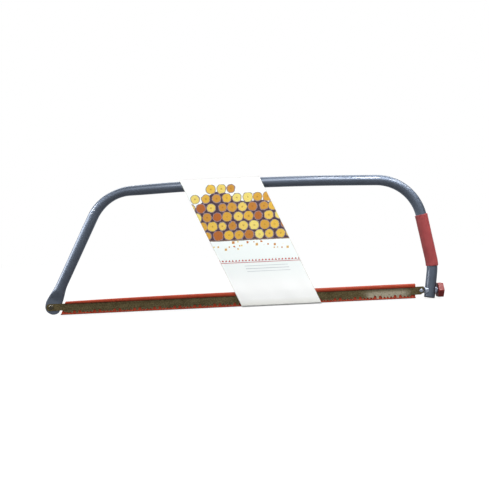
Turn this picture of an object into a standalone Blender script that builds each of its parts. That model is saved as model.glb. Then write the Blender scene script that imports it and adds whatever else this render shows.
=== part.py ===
"""Bow saw: a bent steel tube that holds a raker-tooth blade in tension.

The saw stands upright, with its blade along X, its teeth down and its front towards -Y. Shapes are
worked out from the nose bolt, where the blade meets the flattened end of the tube. One empty carries
everything and puts the middle of the saw's footprint at the world origin.
"""

import math

import bmesh
import bpy
import numpy as np
from mathutils import Vector

MM = 0.001
INCH = 25.4 * MM
GAP = 0.3 * MM
SHARP_ANGLE = math.radians(35)
CUT_REACH = 20 * MM
EMPTY_SIZE = 20 * MM

# Frame tube: corners of its centre line, measured from the nose bolt, and the bends that round them
TUBE_RADIUS = INCH / 2
TUBE_WALL = 1.6 * MM
TUBE_SIDES = 20
NOSE_LEAN = math.radians(27.3)
GRIP_LEAN = math.radians(10.1)
HEEL_LEAN = math.radians(8.4)
FOOT_OFFSET = 0.5 * MM
SHOULDER_HEIGHT = 271.2 * MM
CROWN = (480 * MM, 284.2 * MM)
REAR_HEIGHT = 268 * MM
KNEE = (930.8 * MM, 58 * MM)
HEEL_DROP = 17.6 * MM
SHOULDER_BEND = 112 * MM
CROWN_BEND = 6500 * MM
REAR_BEND = 112 * MM
KNEE_BEND = 110 * MM
BEND_STEPS = (10, 8, 12, 4)

# Flattened nose of the tube: heights above the bolt over which its width and its thickness pass over
FLAT_HALF_THICKNESS = 1.7 * MM
FLAT_HALF_WIDTH = 18.2 * MM
FLAT_TIP = 16.5 * MM
TIP_POWER = 2
WIDE_FROM = 8 * MM
WIDE_TO = 64 * MM
THICK_FROM = 16 * MM
THICK_TO = 46 * MM
NOSE_SHIFT = 2 * MM
SHIFT_FROM = 8 * MM
SHIFT_TO = -4 * MM
NOSE_REACH = 15.6 * MM
BORE_FROM = 30 * MM
TIP_START = math.radians(85)
TIP_STEPS = 8
FLATTEN_STEPS = 13

# Blade
PIN_SPACING = 900 * MM
BLADE_THICKNESS = 0.9 * MM
BLADE_BACK_Y = -FLAT_HALF_THICKNESS - GAP
BLADE_FRONT_Y = BLADE_BACK_Y - BLADE_THICKNESS
BLADE_TOP = 8 * MM
TOOTH_TIP = -17.5 * MM
NOSE_TANG_RADIUS = 8.3 * MM
NOSE_TANG_END = -12 * MM
NOSE_TANG_SHOULDER = 26 * MM
NOSE_TANG_STEP = 0.4 * MM
NOSE_TANG_STEPS = 10
REAR_TANG_END = PIN_SPACING + 6.5 * MM
REAR_TANG_LOW = -11.5 * MM
REAR_TANG_CHAMFER = (8 * MM, 5.6 * MM)
REAR_TANG_CORNER = 2 * MM
REAR_TANG_STEPS = 4
EYE_RADIUS = 2.8 * MM
EYE_STEPS = 8

# Teeth: a raker, a round gullet each side of it and four pegs in every period
TOOTH_PERIOD = 48.7 * MM
FIRST_RAKER = 14 * MM
TEETH_FROM = 36 * MM
TEETH_TO = 874 * MM
REAR_TANG_FROM = TEETH_TO + 2 * MM
RAKER_HALF = 2.6 * MM
RAKER_SHORT = 0.3 * MM
RAKER_NOTCH = 1.6 * MM
GULLET_CENTRE = 6.4 * MM
GULLET_RADIUS = 3.2 * MM
GULLET_SPRING = 5 * MM
GULLET_STEPS = 5
FIRST_PEG = 12.35 * MM
PEG_PITCH = 8 * MM
PEG_COUNT = 4
PEG_DEPTH = 5.6 * MM

# Screw tensioner: an axis along X, a little below the nose bolt
DRAW_HEIGHT = -2 * MM
THREAD_PITCH = INCH / 18
SLACK_TURNS = 2
SLACK = SLACK_TURNS * THREAD_PITCH
ROD_RADIUS = 4 * MM
ROD_BORE = 4.4 * MM
ROD_END = 949 * MM
PADDLE_HALF_HEIGHT = 6.5 * MM
PADDLE_START = math.radians(80)
PADDLE_STEPS = 6
PADDLE_FROM = PIN_SPACING - 9 * MM
PADDLE_TO = PIN_SPACING + 4.6 * MM
ROD_FROM = PIN_SPACING + 7.5 * MM
MILLED_TO = PIN_SPACING + 11 * MM
MILLED_STEP = 0.6 * MM
ROD_SIDES = 24
INNER_COLLAR_FACE = 907.6 * MM
INNER_COLLAR_HALVES = (11 * MM, 7.6 * MM)
OUTER_COLLAR_FACE = 936.4 * MM
OUTER_COLLAR_HALVES = (7.8 * MM, 7.8 * MM)
COLLAR_DEPTH = 10 * MM
COLLAR_BEVEL = 0.6 * MM
COLLAR_SIDES = 24
COLLAR_POWER = 0.6
COLLAR_SEAT_LENGTH = 60 * MM
WASHER_RADIUS = 8 * MM
WASHER_THICKNESS = 1.4 * MM
KNOB_FROM = OUTER_COLLAR_FACE + WASHER_THICKNESS + 2 * GAP
KNOB_THICKNESS = 13 * MM
KNOB_RADIUS = 19.2 * MM
KNOB_BEVEL = 0.9 * MM
KNOB_BEVEL_STEPS = 2
INSERT_RADIUS = 7.5 * MM
INSERT_THICKNESS = 6.5 * MM
KNOB_BLIND_END = ROD_END + 0.8 * MM

# Fasteners
PIN_RADIUS = 2.5 * MM
NOSE_HEAD_RADIUS = 5.9 * MM
NOSE_HEAD_HEIGHT = 3 * MM
STUD_HEAD_RADIUS = 4.5 * MM
STUD_HEAD_HEIGHT = 2.4 * MM
STUD_TAIL_RADIUS = 4 * MM
STUD_TAIL_TIP = 2.8 * MM
STUD_TAIL_HEIGHT = 1.2 * MM
NOSE_WASHER_RADIUS = 5.5 * MM
NOSE_WASHER_THICKNESS = 1.2 * MM
NUT_RADIUS = 5 * MM
NUT_THICKNESS = 4 * MM
BOLT_PAST_NUT = 1.2 * MM
HEAD_STEPS = 5
TURNED_STEPS = 24
MERGE_DISTANCE = 0.001 * MM

# Hand grip and end plug
GRIP_RADIUS = 15 * MM
GRIP_STRAIGHT = 109.3 * MM
GRIP_KNEE_STEPS = 2
GRIP_ROUND = 0.8 * MM
PLUG_FLANGE = 2 * MM
PLUG_ROUND = 0.7 * MM
PLUG_INSERT = 9 * MM
PLUG_INSERT_RADIUS = TUBE_RADIUS - TUBE_WALL - GAP

# Blade guard: a bead over the blade's back, a wall behind the blade and a hem under the teeth
GUARD_WALL = 1.2 * MM
GUARD_CLEAR = 0.5 * MM
BEAD_HALF_DEPTH = 3.1 * MM
BEAD_HALF_HEIGHT = 3.1 * MM
BEAD_HEIGHT = 9.3 * MM
BEAD_SWELL = 2 * MM
BEAD_RISE = 1.6 * MM
BEAD_FULL_AT = 400 * MM
BEAD_LIP = math.radians(250)
BEAD_STEPS = 10
HEM_HEIGHT = -17.65 * MM
HEM_LIP = 0.65 * MM
HEM_STEPS = 6
GUARD_LEFT = 21.3 * MM
GUARD_RIGHT = 885 * MM
GUARD_SLANT = 0.45
GUARD_STATIONS = 7

# Card sleeve: a belt round the tube and the guard, cut on a slant
CARD = 0.6 * MM
SLEEVE_TOP_RADIUS = TUBE_RADIUS + 0.7 * MM
SLEEVE_TOP_HEIGHT = 279.2 * MM
SLEEVE_LOW_RADIUS = 4.2 * MM
SLEEVE_LOW_HEIGHT = -16.6 * MM
SLEEVE_LOW_Y = -2.6 * MM
SLEEVE_TOP_LEFT = 326 * MM
SLEEVE_WIDTH = 193 * MM
SLEEVE_SLANT = 0.4375
SLEEVE_TOP_STEPS = 12
SLEEVE_LOW_STEPS = 8

# Placing of the whole saw
PLUG_DROP = (PLUG_FLANGE + GAP) * math.cos(HEEL_LEAN) + TUBE_RADIUS * math.sin(HEEL_LEAN)
FLOOR_DROP = HEEL_DROP + PLUG_DROP
MIDDLE_X = (KNOB_FROM + KNOB_THICKNESS - NOSE_REACH) / 2

GUN_METAL = ("gun_metal_paint", (0.115, 0.135, 0.165), 0.35, 0.6)
RED_VINYL = ("red_vinyl", (0.30, 0.055, 0.055), 0.5, 0.0)
DARK_PLASTIC = ("dark_plastic", (0.03, 0.032, 0.036), 0.5, 0.0)
LACQUERED_STEEL = ("lacquered_steel", (0.10, 0.075, 0.035), 0.35, 0.6)
RED_PLASTIC = ("red_plastic", (0.34, 0.045, 0.025), 0.4, 0.0)
ZINC = ("zinc_plate", (0.62, 0.63, 0.64), 0.3, 1.0)
KNOB_PLASTIC = ("knob_plastic", (0.36, 0.05, 0.05), 0.35, 0.0)
WHITE_CARD = ("white_card", (0.86, 0.88, 0.88), 0.6, 0.0)


def make_material(name, colour, roughness, metallic):
    """One Principled material, made once and shared by the pieces of the same stuff."""
    material = bpy.data.materials.get(name)
    if material is None:
        material = bpy.data.materials.new(name)
        material.use_nodes = True
        shader = material.node_tree.nodes["Principled BSDF"]
        shader.inputs["Base Color"].default_value = (*colour, 1)
        shader.inputs["Roughness"].default_value = roughness
        shader.inputs["Metallic"].default_value = metallic
    return material


def add_empty(name, location, parent=None):
    """An empty that carries pieces, at a place given in its parent's frame."""
    empty = bpy.data.objects.new(name, None)
    empty.empty_display_size = EMPTY_SIZE
    empty.location = location
    empty.parent = parent
    bpy.context.scene.collection.objects.link(empty)
    return empty


def add_piece(name, body, stuff, parent, location=(0, 0, 0), turn=(0, 0, 0)):
    """One named object from a bmesh, with its faces outwards and its round faces smooth."""
    bmesh.ops.recalc_face_normals(body, faces=body.faces)
    mesh = bpy.data.meshes.new(name)
    body.to_mesh(mesh)
    body.free()
    mesh.shade_smooth()
    mesh.set_sharp_from_angle(angle=SHARP_ANGLE)
    mesh.materials.append(make_material(*stuff))
    piece = bpy.data.objects.new(name, mesh)
    bpy.context.scene.collection.objects.link(piece)
    piece.parent = parent
    piece.location = location
    piece.rotation_euler = turn
    return piece


def cut_away(piece, cutter):
    """Cut a piece with a cutter, which stays in the file as a wire guide."""
    cutter.hide_render = True
    cutter.display_type = "WIRE"
    cut = piece.modifiers.new("cut_" + cutter.name, "BOOLEAN")
    cut.operation = "DIFFERENCE"
    cut.solver = "EXACT"
    cut.object = cutter


def lofted(rings, loop=False):
    """A skin over rings of equal count, with both ends closed, or joined where it is a loop."""
    body = bmesh.new()
    rows = [[body.verts.new(point) for point in ring] for ring in rings]
    pairs = list(zip(rows, rows[1:]))
    if loop:
        pairs.append((rows[-1], rows[0]))
    for row, following in pairs:
        for i in range(len(row)):
            body.faces.new((row[i - 1], row[i], following[i], following[i - 1]))
    if not loop:
        body.faces.new(rows[0])
        body.faces.new(rows[-1])
    return body


def turned(profile, steps=TURNED_STEPS):
    """A solid spun about Z from (radius, height) points, closed on the axis or back to its start."""
    body = bmesh.new()
    verts = [body.verts.new((radius, 0, height)) for radius, height in profile]
    edges = [body.edges.new(pair) for pair in zip(verts, verts[1:])]
    if profile[0][0] > 0:
        edges.append(body.edges.new((verts[-1], verts[0])))
    bmesh.ops.spin(
        body,
        geom=verts + edges,
        cent=(0, 0, 0),
        axis=(0, 0, 1),
        angle=2 * math.pi,
        steps=steps,
        use_merge=True,
    )
    bmesh.ops.remove_doubles(body, verts=body.verts, dist=MERGE_DISTANCE)
    return body


def plate(outline, front, back):
    """A plate with an X-Z outline, drawn out along Y."""
    body = bmesh.new()
    face = body.faces.new([body.verts.new((x, front, z)) for x, z in outline])
    drawn = bmesh.ops.extrude_face_region(body, geom=[face])
    far = [v for v in drawn["geom"] if isinstance(v, bmesh.types.BMVert)]
    bmesh.ops.translate(body, verts=far, vec=(0, back - front, 0))
    return body


def hex_prism(radius, height):
    """A hexagon of corner radius along +Z, with a corner on +Y."""
    body = bmesh.new()
    bmesh.ops.create_cone(
        body, cap_ends=True, segments=6, radius1=radius, radius2=radius, depth=height
    )
    bmesh.ops.translate(body, verts=body.verts, vec=(0, 0, height / 2))
    return body


def rod(radius, length):
    """A plain round bar along +Z."""
    return turned([(0, 0), (radius, 0), (radius, length), (0, length)])


def arc(centre, radius, start, stop, steps):
    """Points on an arc in a plane, both ends included."""
    angles = np.linspace(start, stop, steps + 1)
    return [(centre[0] + radius * math.cos(a), centre[1] + radius * math.sin(a)) for a in angles]


ALONG_X = (0, math.pi / 2, 0)
ALONG_Y = (-math.pi / 2, 0, 0)


def pin_hole(name, carrier, x):
    """A cutter along Y for a bolt or stud, long enough to pass through every piece on it."""
    return add_piece(name, rod(EYE_RADIUS, 2 * CUT_REACH), ZINC, carrier, (x, -CUT_REACH, 0), ALONG_Y)


def frame_corners():
    """Corners of the tube's centre line, from the nose bolt to the lower end."""
    foot = Vector((FOOT_OFFSET, 0))
    shoulder = foot + Vector((SHOULDER_HEIGHT * math.tan(NOSE_LEAN), SHOULDER_HEIGHT))
    rear = Vector((KNEE[0] - (REAR_HEIGHT - KNEE[1]) * math.tan(GRIP_LEAN), REAR_HEIGHT))
    heel = Vector((KNEE[0] - (KNEE[1] + HEEL_DROP) * math.tan(HEEL_LEAN), -HEEL_DROP))
    return [foot, shoulder, Vector(CROWN), rear, Vector(KNEE), heel]


def eased(value, start, stop):
    """Share of the way from start to stop, held at both ends and smooth between."""
    share = min(max((value - start) / (stop - start), 0), 1)
    return share * share * (3 - 2 * share)


def frame_stations():
    """Places along the tube: centre, heading and distance up from the nose bolt (for the nose only)."""
    corners = frame_corners()
    leg = (corners[1] - corners[0]).normalized()
    tip_angles = np.linspace(TIP_START, 0, TIP_STEPS)
    risers = [-FLAT_TIP * math.sin(a) for a in tip_angles]
    risers += list(np.linspace(0, WIDE_TO, FLATTEN_STEPS)[1:])
    right = Vector((leg.y, -leg.x)) * NOSE_SHIFT
    stations = [(corners[0] + leg * up + right * eased(up, SHIFT_FROM, SHIFT_TO), leg, up) for up in risers]
    bends = (SHOULDER_BEND, CROWN_BEND, REAR_BEND, KNEE_BEND)
    for i, (bend, steps) in enumerate(zip(bends, BEND_STEPS), start=1):
        came = (corners[i] - corners[i - 1]).normalized()
        goes = (corners[i + 1] - corners[i]).normalized()
        turn = came.angle(goes)
        begin = corners[i] - came * (bend * math.tan(turn / 2))
        inward = Vector((came.y, -came.x))
        for angle in np.linspace(0, turn, steps + 1):
            heading = came * math.cos(angle) + inward * math.sin(angle)
            swung = inward * math.cos(angle) - came * math.sin(angle)
            stations.append((begin + (inward - swung) * bend, heading, None))
    goes = (corners[-1] - corners[-2]).normalized()
    stations.append((corners[-1], goes, None))
    return stations


def flattening(up):
    """Half thickness and straight half width of the tube at a distance up from the nose bolt."""
    if up is None:
        return TUBE_RADIUS, 0
    thick = FLAT_HALF_THICKNESS + (TUBE_RADIUS - FLAT_HALF_THICKNESS) * eased(up, THICK_FROM, THICK_TO)
    width = FLAT_HALF_WIDTH + (TUBE_RADIUS - FLAT_HALF_WIDTH) * eased(up, WIDE_FROM, WIDE_TO)
    if up < 0:
        width *= (1 - (-up / FLAT_TIP) ** TIP_POWER) ** (1 / TIP_POWER)
        thick = min(thick, width)
    return thick, width - thick


def oval_ring(thick, straight, sides):
    """Points of an oval: two half circles with straight runs between; a circle where straight is 0."""
    ring = []
    for i in range(sides):
        angle = 2 * math.pi * (i + 0.5) / sides
        across = math.copysign(straight, math.cos(angle)) + thick * math.cos(angle)
        ring.append((across, thick * math.sin(angle)))
    return ring


def tube_ring(centre, heading, thick, straight):
    """An oval section set square to the tube, its long way in the plane of the frame."""
    side = Vector((heading.y, -heading.x))
    ring = []
    for across, depth in oval_ring(thick, straight, TUBE_SIDES):
        spot = centre + side * across
        ring.append((spot.x, depth, spot.y))
    return ring


def build_frame_tube(saw, axis):
    """The bent tube: its skin to the lower end, then back up inside to where the bore is pinched shut."""
    stations = frame_stations()
    outside = [tube_ring(c, h, *flattening(up)) for c, h, up in stations]
    inside = []
    for centre, heading, up in reversed(stations):
        if up is None or up > BORE_FROM:
            thick, straight = flattening(up)
            inside.append(tube_ring(centre, heading, thick - TUBE_WALL, straight))
    tube = add_piece("frame_tube", lofted(outside + inside), GUN_METAL, saw)
    cut_away(tube, pin_hole("nose_hole", saw, 0))
    cross_from = INNER_COLLAR_FACE - COLLAR_DEPTH
    cross_length = KNOB_FROM - cross_from
    cross = rod(ROD_BORE, cross_length)
    cut_away(tube, add_piece("cross_hole", cross, ZINC, axis, (cross_from, 0, 0), ALONG_X))


def build_hand_grip(saw):
    """Vinyl sleeve down the straight of the right leg and half round the knee, its ends slightly rounded."""
    knee = frame_stations()[-BEND_STEPS[-1] - 2:][: GRIP_KNEE_STEPS + 1]
    course = [(centre, heading) for centre, heading, _ in knee]
    bend, down = course[0]
    course.insert(0, (bend - down * GRIP_STRAIGHT, down))
    low, along = course[-1]
    upper_end = (bend - down * (GRIP_STRAIGHT + GRIP_ROUND), down)
    lower_end = (low + along * GRIP_ROUND, along)
    rim = GRIP_RADIUS - GRIP_ROUND
    outside = [tube_ring(*upper_end, rim, 0)]
    outside += [tube_ring(*place, GRIP_RADIUS, 0) for place in course]
    outside.append(tube_ring(*lower_end, rim, 0))
    bore = [upper_end, *course[1:-1], lower_end]
    inside = [tube_ring(*place, TUBE_RADIUS + GAP, 0) for place in reversed(bore)]
    add_piece("hand_grip", lofted(outside + inside, loop=True), RED_VINYL, saw)


def build_end_plug(saw):
    """Plug pushed into the lower end: a flange the size of the tube and a short insert."""
    heel = frame_corners()[-1]
    flange_radius = TUBE_RADIUS
    profile = [
        (0, -PLUG_FLANGE - GAP),
        (flange_radius - PLUG_ROUND, -PLUG_FLANGE - GAP),
        (flange_radius, -PLUG_FLANGE - GAP + PLUG_ROUND),
        (flange_radius, -GAP),
        (PLUG_INSERT_RADIUS, -GAP),
        (PLUG_INSERT_RADIUS, PLUG_INSERT),
        (0, PLUG_INSERT),
    ]
    add_piece("end_plug", turned(profile), DARK_PLASTIC, saw, (heel.x, 0, heel.y), (0, HEEL_LEAN, 0))


def tooth_line():
    """The toothed edge from left to right: rakers, round gullets and pegs."""
    spring = TOOTH_TIP + GULLET_SPRING
    points = []
    for k in range(math.ceil(TEETH_TO / TOOTH_PERIOD)):
        raker = FIRST_RAKER + k * TOOTH_PERIOD
        points.append((raker - RAKER_HALF, TOOTH_TIP + RAKER_SHORT))
        points.append((raker, TOOTH_TIP + RAKER_NOTCH))
        points.append((raker + RAKER_HALF, TOOTH_TIP + RAKER_SHORT))
        points += arc((raker + GULLET_CENTRE, spring), GULLET_RADIUS, math.pi, 0, GULLET_STEPS)
        for peg in range(PEG_COUNT):
            tip = raker + FIRST_PEG + peg * PEG_PITCH
            points.append((tip, TOOTH_TIP))
            if peg < PEG_COUNT - 1:
                points.append((tip + PEG_PITCH / 2, TOOTH_TIP + PEG_DEPTH))
        far_gullet = raker + TOOTH_PERIOD - GULLET_CENTRE
        points += arc((far_gullet, spring), GULLET_RADIUS, math.pi, 0, GULLET_STEPS)
    return [p for p in points if TEETH_FROM < p[0] < TEETH_TO]


def blade_outline():
    """The blade's edge: nose tang, teeth, rear tang with its chamfer, then the straight back."""
    tang_x = NOSE_TANG_END + NOSE_TANG_RADIUS
    tang_z = BLADE_TOP - NOSE_TANG_STEP - NOSE_TANG_RADIUS
    tang = arc((tang_x, tang_z), NOSE_TANG_RADIUS, math.pi / 2, 3 * math.pi / 2, NOSE_TANG_STEPS)
    step = [(NOSE_TANG_SHOULDER, tang_z - NOSE_TANG_RADIUS)]
    rear = [
        (REAR_TANG_FROM, REAR_TANG_LOW),
        (REAR_TANG_END - REAR_TANG_CHAMFER[0], REAR_TANG_LOW),
        (REAR_TANG_END, REAR_TANG_LOW + REAR_TANG_CHAMFER[1]),
    ]
    centre = (REAR_TANG_END - REAR_TANG_CORNER, BLADE_TOP - REAR_TANG_CORNER)
    corner = arc(centre, REAR_TANG_CORNER, 0, math.pi / 2, REAR_TANG_STEPS)
    return tang + step + tooth_line() + rear + corner


def build_saw_blade(saw, axis):
    """The blade, with a round eye for the stud and a nose eye long enough for the slack."""
    blade = add_piece("saw_blade", plate(blade_outline(), BLADE_FRONT_Y, BLADE_BACK_Y), LACQUERED_STEEL, saw)
    cut_away(blade, pin_hole("rear_eye", axis, PIN_SPACING))
    slot = arc((0, 0), EYE_RADIUS, math.pi / 2, 3 * math.pi / 2, EYE_STEPS)
    slot += arc((SLACK, 0), EYE_RADIUS, -math.pi / 2, math.pi / 2, EYE_STEPS)
    cut_away(blade, add_piece("nose_eye", plate(slot, -CUT_REACH, CUT_REACH), ZINC, saw))


def oval_arc(centre, half_depth, half_height, start, stop, steps):
    """Points on an upright oval arc in the Y-Z plane, both ends included."""
    round_arc = arc((0, 0), 1, start, stop, steps)
    return [(centre[0] + half_depth * c, centre[1] + half_height * s) for c, s in round_arc]


def guard_section(x):
    """The guard's Y-Z section at x: bead, back wall and hem, one wall thick.

    The bead is small at the nose and swells to its full height over the first part of the blade.
    """
    share = min(max((x - GUARD_LEFT) / (BEAD_FULL_AT - GUARD_LEFT), 0), 1)
    full = share * (2 - share)
    half_height = BEAD_HALF_HEIGHT + BEAD_SWELL * full
    wall_back = BLADE_BACK_Y + GUARD_CLEAR + GUARD_WALL
    bead = (wall_back - BEAD_HALF_DEPTH, BEAD_HEIGHT + BEAD_RISE * full)
    hem_outer = (wall_back - BLADE_FRONT_Y + GUARD_CLEAR + GUARD_WALL) / 2
    hem = (wall_back - hem_outer, HEM_HEIGHT)
    lip_z = HEM_HEIGHT + HEM_LIP
    outer = oval_arc(bead, BEAD_HALF_DEPTH, half_height, BEAD_LIP, 0, BEAD_STEPS)
    outer += arc(hem, hem_outer, 0, -math.pi, HEM_STEPS)
    outer.append((hem[0] - hem_outer, lip_z))
    hem_inner = hem_outer - GUARD_WALL
    inner = [(hem[0] - hem_inner, lip_z)]
    inner += arc(hem, hem_inner, -math.pi, 0, HEM_STEPS)
    inner += oval_arc(bead, BEAD_HALF_DEPTH - GUARD_WALL, half_height - GUARD_WALL, 0, BEAD_LIP, BEAD_STEPS)
    return outer + inner


def build_blade_guard(saw):
    """The guard, cut on a slant at the nose and square at the rear."""
    rings = [[(GUARD_LEFT + (z - HEM_HEIGHT) * GUARD_SLANT, y, z) for y, z in guard_section(GUARD_LEFT)]]
    for x in [*np.linspace(GUARD_LEFT, BEAD_FULL_AT, GUARD_STATIONS)[1:], GUARD_RIGHT]:
        rings.append([(x, y, z) for y, z in guard_section(x)])
    add_piece("blade_guard", lofted(rings), RED_PLASTIC, saw)


def belt(grow):
    """The card's Y-Z loop: tangent round the tube at the top and the guard below, moved out by grow."""
    rise = SLEEVE_TOP_HEIGHT - SLEEVE_LOW_HEIGHT
    apart = math.hypot(rise, SLEEVE_LOW_Y)
    tilt = math.atan2(SLEEVE_LOW_Y, rise)
    wedge = math.asin((SLEEVE_TOP_RADIUS - SLEEVE_LOW_RADIUS) / apart)
    back = tilt - wedge
    front = math.pi + tilt + wedge
    top = arc((0, SLEEVE_TOP_HEIGHT), SLEEVE_TOP_RADIUS + grow, back, front, SLEEVE_TOP_STEPS)
    low_centre = (SLEEVE_LOW_Y, SLEEVE_LOW_HEIGHT)
    low = arc(low_centre, SLEEVE_LOW_RADIUS + grow, front, back + 2 * math.pi, SLEEVE_LOW_STEPS)
    return top + low


def build_card_sleeve(saw):
    """The card as a closed band, both ends cut on the same slant."""
    top = SLEEVE_TOP_HEIGHT + SLEEVE_TOP_RADIUS + CARD
    rings = []
    for shift, grow in ((0, CARD), (SLEEVE_WIDTH, CARD), (SLEEVE_WIDTH, 0), (0, 0)):
        edge = SLEEVE_TOP_LEFT + shift
        rings.append([(edge + (top - z) * SLEEVE_SLANT, y, z) for y, z in belt(grow)])
    add_piece("card_sleeve", lofted(rings, loop=True), WHITE_CARD, saw)


def domed_head(radius, height):
    """Profile of a round head that stands out from 0 to -height, from its crown to its rim."""
    angles = np.linspace(0, math.pi / 2, HEAD_STEPS + 1)
    return [(radius * math.sin(a), -height * math.cos(a)) for a in angles]


def build_nose_fasteners(saw):
    """Round-headed bolt, washer and nut that hold the blade on the flat of the tube."""
    head_y = BLADE_FRONT_Y - GAP
    washer_y = FLAT_HALF_THICKNESS + GAP
    nut_y = washer_y + NOSE_WASHER_THICKNESS + GAP
    length = nut_y + NUT_THICKNESS + BOLT_PAST_NUT - head_y
    bolt = domed_head(NOSE_HEAD_RADIUS, NOSE_HEAD_HEIGHT)
    bolt += [(PIN_RADIUS, 0), (PIN_RADIUS, length), (0, length)]
    add_piece("nose_bolt", turned(bolt), ZINC, saw, (0, head_y, 0), ALONG_Y)
    thick = NOSE_WASHER_THICKNESS
    ring = [(EYE_RADIUS, 0), (NOSE_WASHER_RADIUS, 0), (NOSE_WASHER_RADIUS, thick), (EYE_RADIUS, thick)]
    add_piece("nose_washer", turned(ring), ZINC, saw, (0, washer_y, 0), ALONG_Y)
    nut = add_piece("nose_nut", hex_prism(NUT_RADIUS, NUT_THICKNESS), ZINC, saw, (0, nut_y, 0), ALONG_Y)
    cut_away(nut, pin_hole("nut_bore", saw, 0))


def build_draw_bolt(axis):
    """Rod through the tube, forged to a paddle behind the blade's rear eye and milled flat in front."""
    rings = []
    for angle in np.linspace(PADDLE_START, 0, PADDLE_STEPS):
        x = PADDLE_FROM + PADDLE_HALF_HEIGHT * (1 - math.sin(angle))
        half = PADDLE_HALF_HEIGHT * math.cos(angle)
        thick = min(FLAT_HALF_THICKNESS, half)
        rings.append((x, thick, half - thick))
    rings.append((PADDLE_TO, FLAT_HALF_THICKNESS, PADDLE_HALF_HEIGHT - FLAT_HALF_THICKNESS))
    rings += [(x, ROD_RADIUS, 0) for x in (ROD_FROM, MILLED_TO, MILLED_TO + MILLED_STEP, ROD_END)]
    skin = []
    for x, thick, straight in rings:
        front = -FLAT_HALF_THICKNESS if x <= MILLED_TO else -ROD_RADIUS
        skin.append([(x, max(y, front), z) for z, y in oval_ring(thick, straight, ROD_SIDES)])
    bolt = add_piece("draw_bolt", lofted(skin), ZINC, axis)
    cut_away(bolt, pin_hole("paddle_eye", axis, PIN_SPACING))


def build_blade_stud(axis):
    """Stud riveted into the paddle, its round head in front of the blade."""
    head_y = BLADE_FRONT_Y - GAP
    tail = FLAT_HALF_THICKNESS + GAP - head_y
    profile = domed_head(STUD_HEAD_RADIUS, STUD_HEAD_HEIGHT)
    profile += [(PIN_RADIUS, 0), (PIN_RADIUS, tail), (STUD_TAIL_RADIUS, tail)]
    profile += [(STUD_TAIL_TIP, tail + STUD_TAIL_HEIGHT), (0, tail + STUD_TAIL_HEIGHT)]
    add_piece("blade_stud", turned(profile), ZINC, axis, (PIN_SPACING, head_y, 0), ALONG_Y)


def build_collar(saw, axis, name, halves, face, inward):
    """Saddle collar: a rounded block, flat outside, bored and hollowed to sit on the round tube."""
    circle = arc((0, 0), 1, 0, 2 * math.pi, COLLAR_SIDES)[:-1]
    block = [[math.copysign(abs(c) ** COLLAR_POWER, c) for c in point] for point in circle]
    rings = []
    for depth, inset in ((0, COLLAR_BEVEL), (COLLAR_BEVEL, 0), (COLLAR_DEPTH, 0)):
        half_y, half_z = halves[0] - inset, halves[1] - inset
        rings.append([(face + inward * depth, half_y * y, half_z * z) for y, z in block])
    collar = add_piece(name, lofted(rings), ZINC, axis)
    bore = rod(ROD_BORE, 2 * CUT_REACH)
    cut_away(collar, add_piece(name + "_bore", bore, ZINC, axis, (face - CUT_REACH, 0, 0), ALONG_X))
    heel = frame_corners()[-1]
    seat = rod(TUBE_RADIUS + GAP, COLLAR_SEAT_LENGTH)
    cut_away(collar, add_piece(name + "_seat", seat, ZINC, saw, (heel.x, 0, heel.y), (0, HEEL_LEAN, 0)))


def build_thrust_washer(axis):
    """Plain washer between the outer collar and the knob."""
    face = OUTER_COLLAR_FACE + GAP
    ring = [
        (ROD_BORE, 0),
        (WASHER_RADIUS, 0),
        (WASHER_RADIUS, WASHER_THICKNESS),
        (ROD_BORE, WASHER_THICKNESS),
    ]
    add_piece("thrust_washer", turned(ring), ZINC, axis, (face, 0, 0), ALONG_X)


def build_tension_knob(knob):
    """Hexagonal knob with a blind bore and a pocket for its nut, one corner towards the front."""
    shape = hex_prism(KNOB_RADIUS, KNOB_THICKNESS)
    bmesh.ops.bevel(
        shape, geom=shape.edges[:], offset=KNOB_BEVEL, segments=KNOB_BEVEL_STEPS, profile=0.5, affect="EDGES"
    )
    body = add_piece("tension_knob", shape, KNOB_PLASTIC, knob, (0, 0, 0), ALONG_X)
    pocket_depth = INSERT_THICKNESS + 2 * GAP
    pocket = hex_prism(INSERT_RADIUS + GAP, pocket_depth + GAP)
    cut_away(body, add_piece("insert_pocket", pocket, KNOB_PLASTIC, knob, (-GAP, 0, 0), ALONG_X))
    blind = rod(ROD_BORE, KNOB_BLIND_END - KNOB_FROM + GAP)
    cut_away(body, add_piece("blind_bore", blind, KNOB_PLASTIC, knob, (-GAP, 0, 0), ALONG_X))


def build_knob_insert(knob):
    """Steel nut moulded into the knob, level with its inner face."""
    shape = hex_prism(INSERT_RADIUS, INSERT_THICKNESS)
    nut = add_piece("knob_insert", shape, ZINC, knob, (GAP, 0, 0), ALONG_X)
    bore = rod(ROD_BORE, INSERT_THICKNESS * 2)
    cut_away(nut, add_piece("insert_bore", bore, ZINC, knob, (-INSERT_THICKNESS / 2, 0, 0), ALONG_X))


def main():
    """Clear the scene and build the saw on its carrier empties."""
    for leftover in list(bpy.data.objects):
        bpy.data.objects.remove(leftover)
    saw = add_empty("saw", (-MIDDLE_X, 0, FLOOR_DROP))
    axis = add_empty("draw_axis", (0, 0, DRAW_HEIGHT), saw)
    knob = add_empty("knob_axis", (KNOB_FROM, 0, 0), axis)
    build_frame_tube(saw, axis)
    build_hand_grip(saw)
    build_end_plug(saw)
    build_nose_fasteners(saw)
    build_collar(saw, axis, "inner_collar", INNER_COLLAR_HALVES, INNER_COLLAR_FACE, 1)
    build_collar(saw, axis, "outer_collar", OUTER_COLLAR_HALVES, OUTER_COLLAR_FACE, -1)
    build_thrust_washer(axis)
    build_saw_blade(saw, axis)
    build_draw_bolt(axis)
    build_blade_stud(axis)
    build_blade_guard(saw)
    build_tension_knob(knob)
    build_knob_insert(knob)
    build_card_sleeve(saw)


main()
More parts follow.
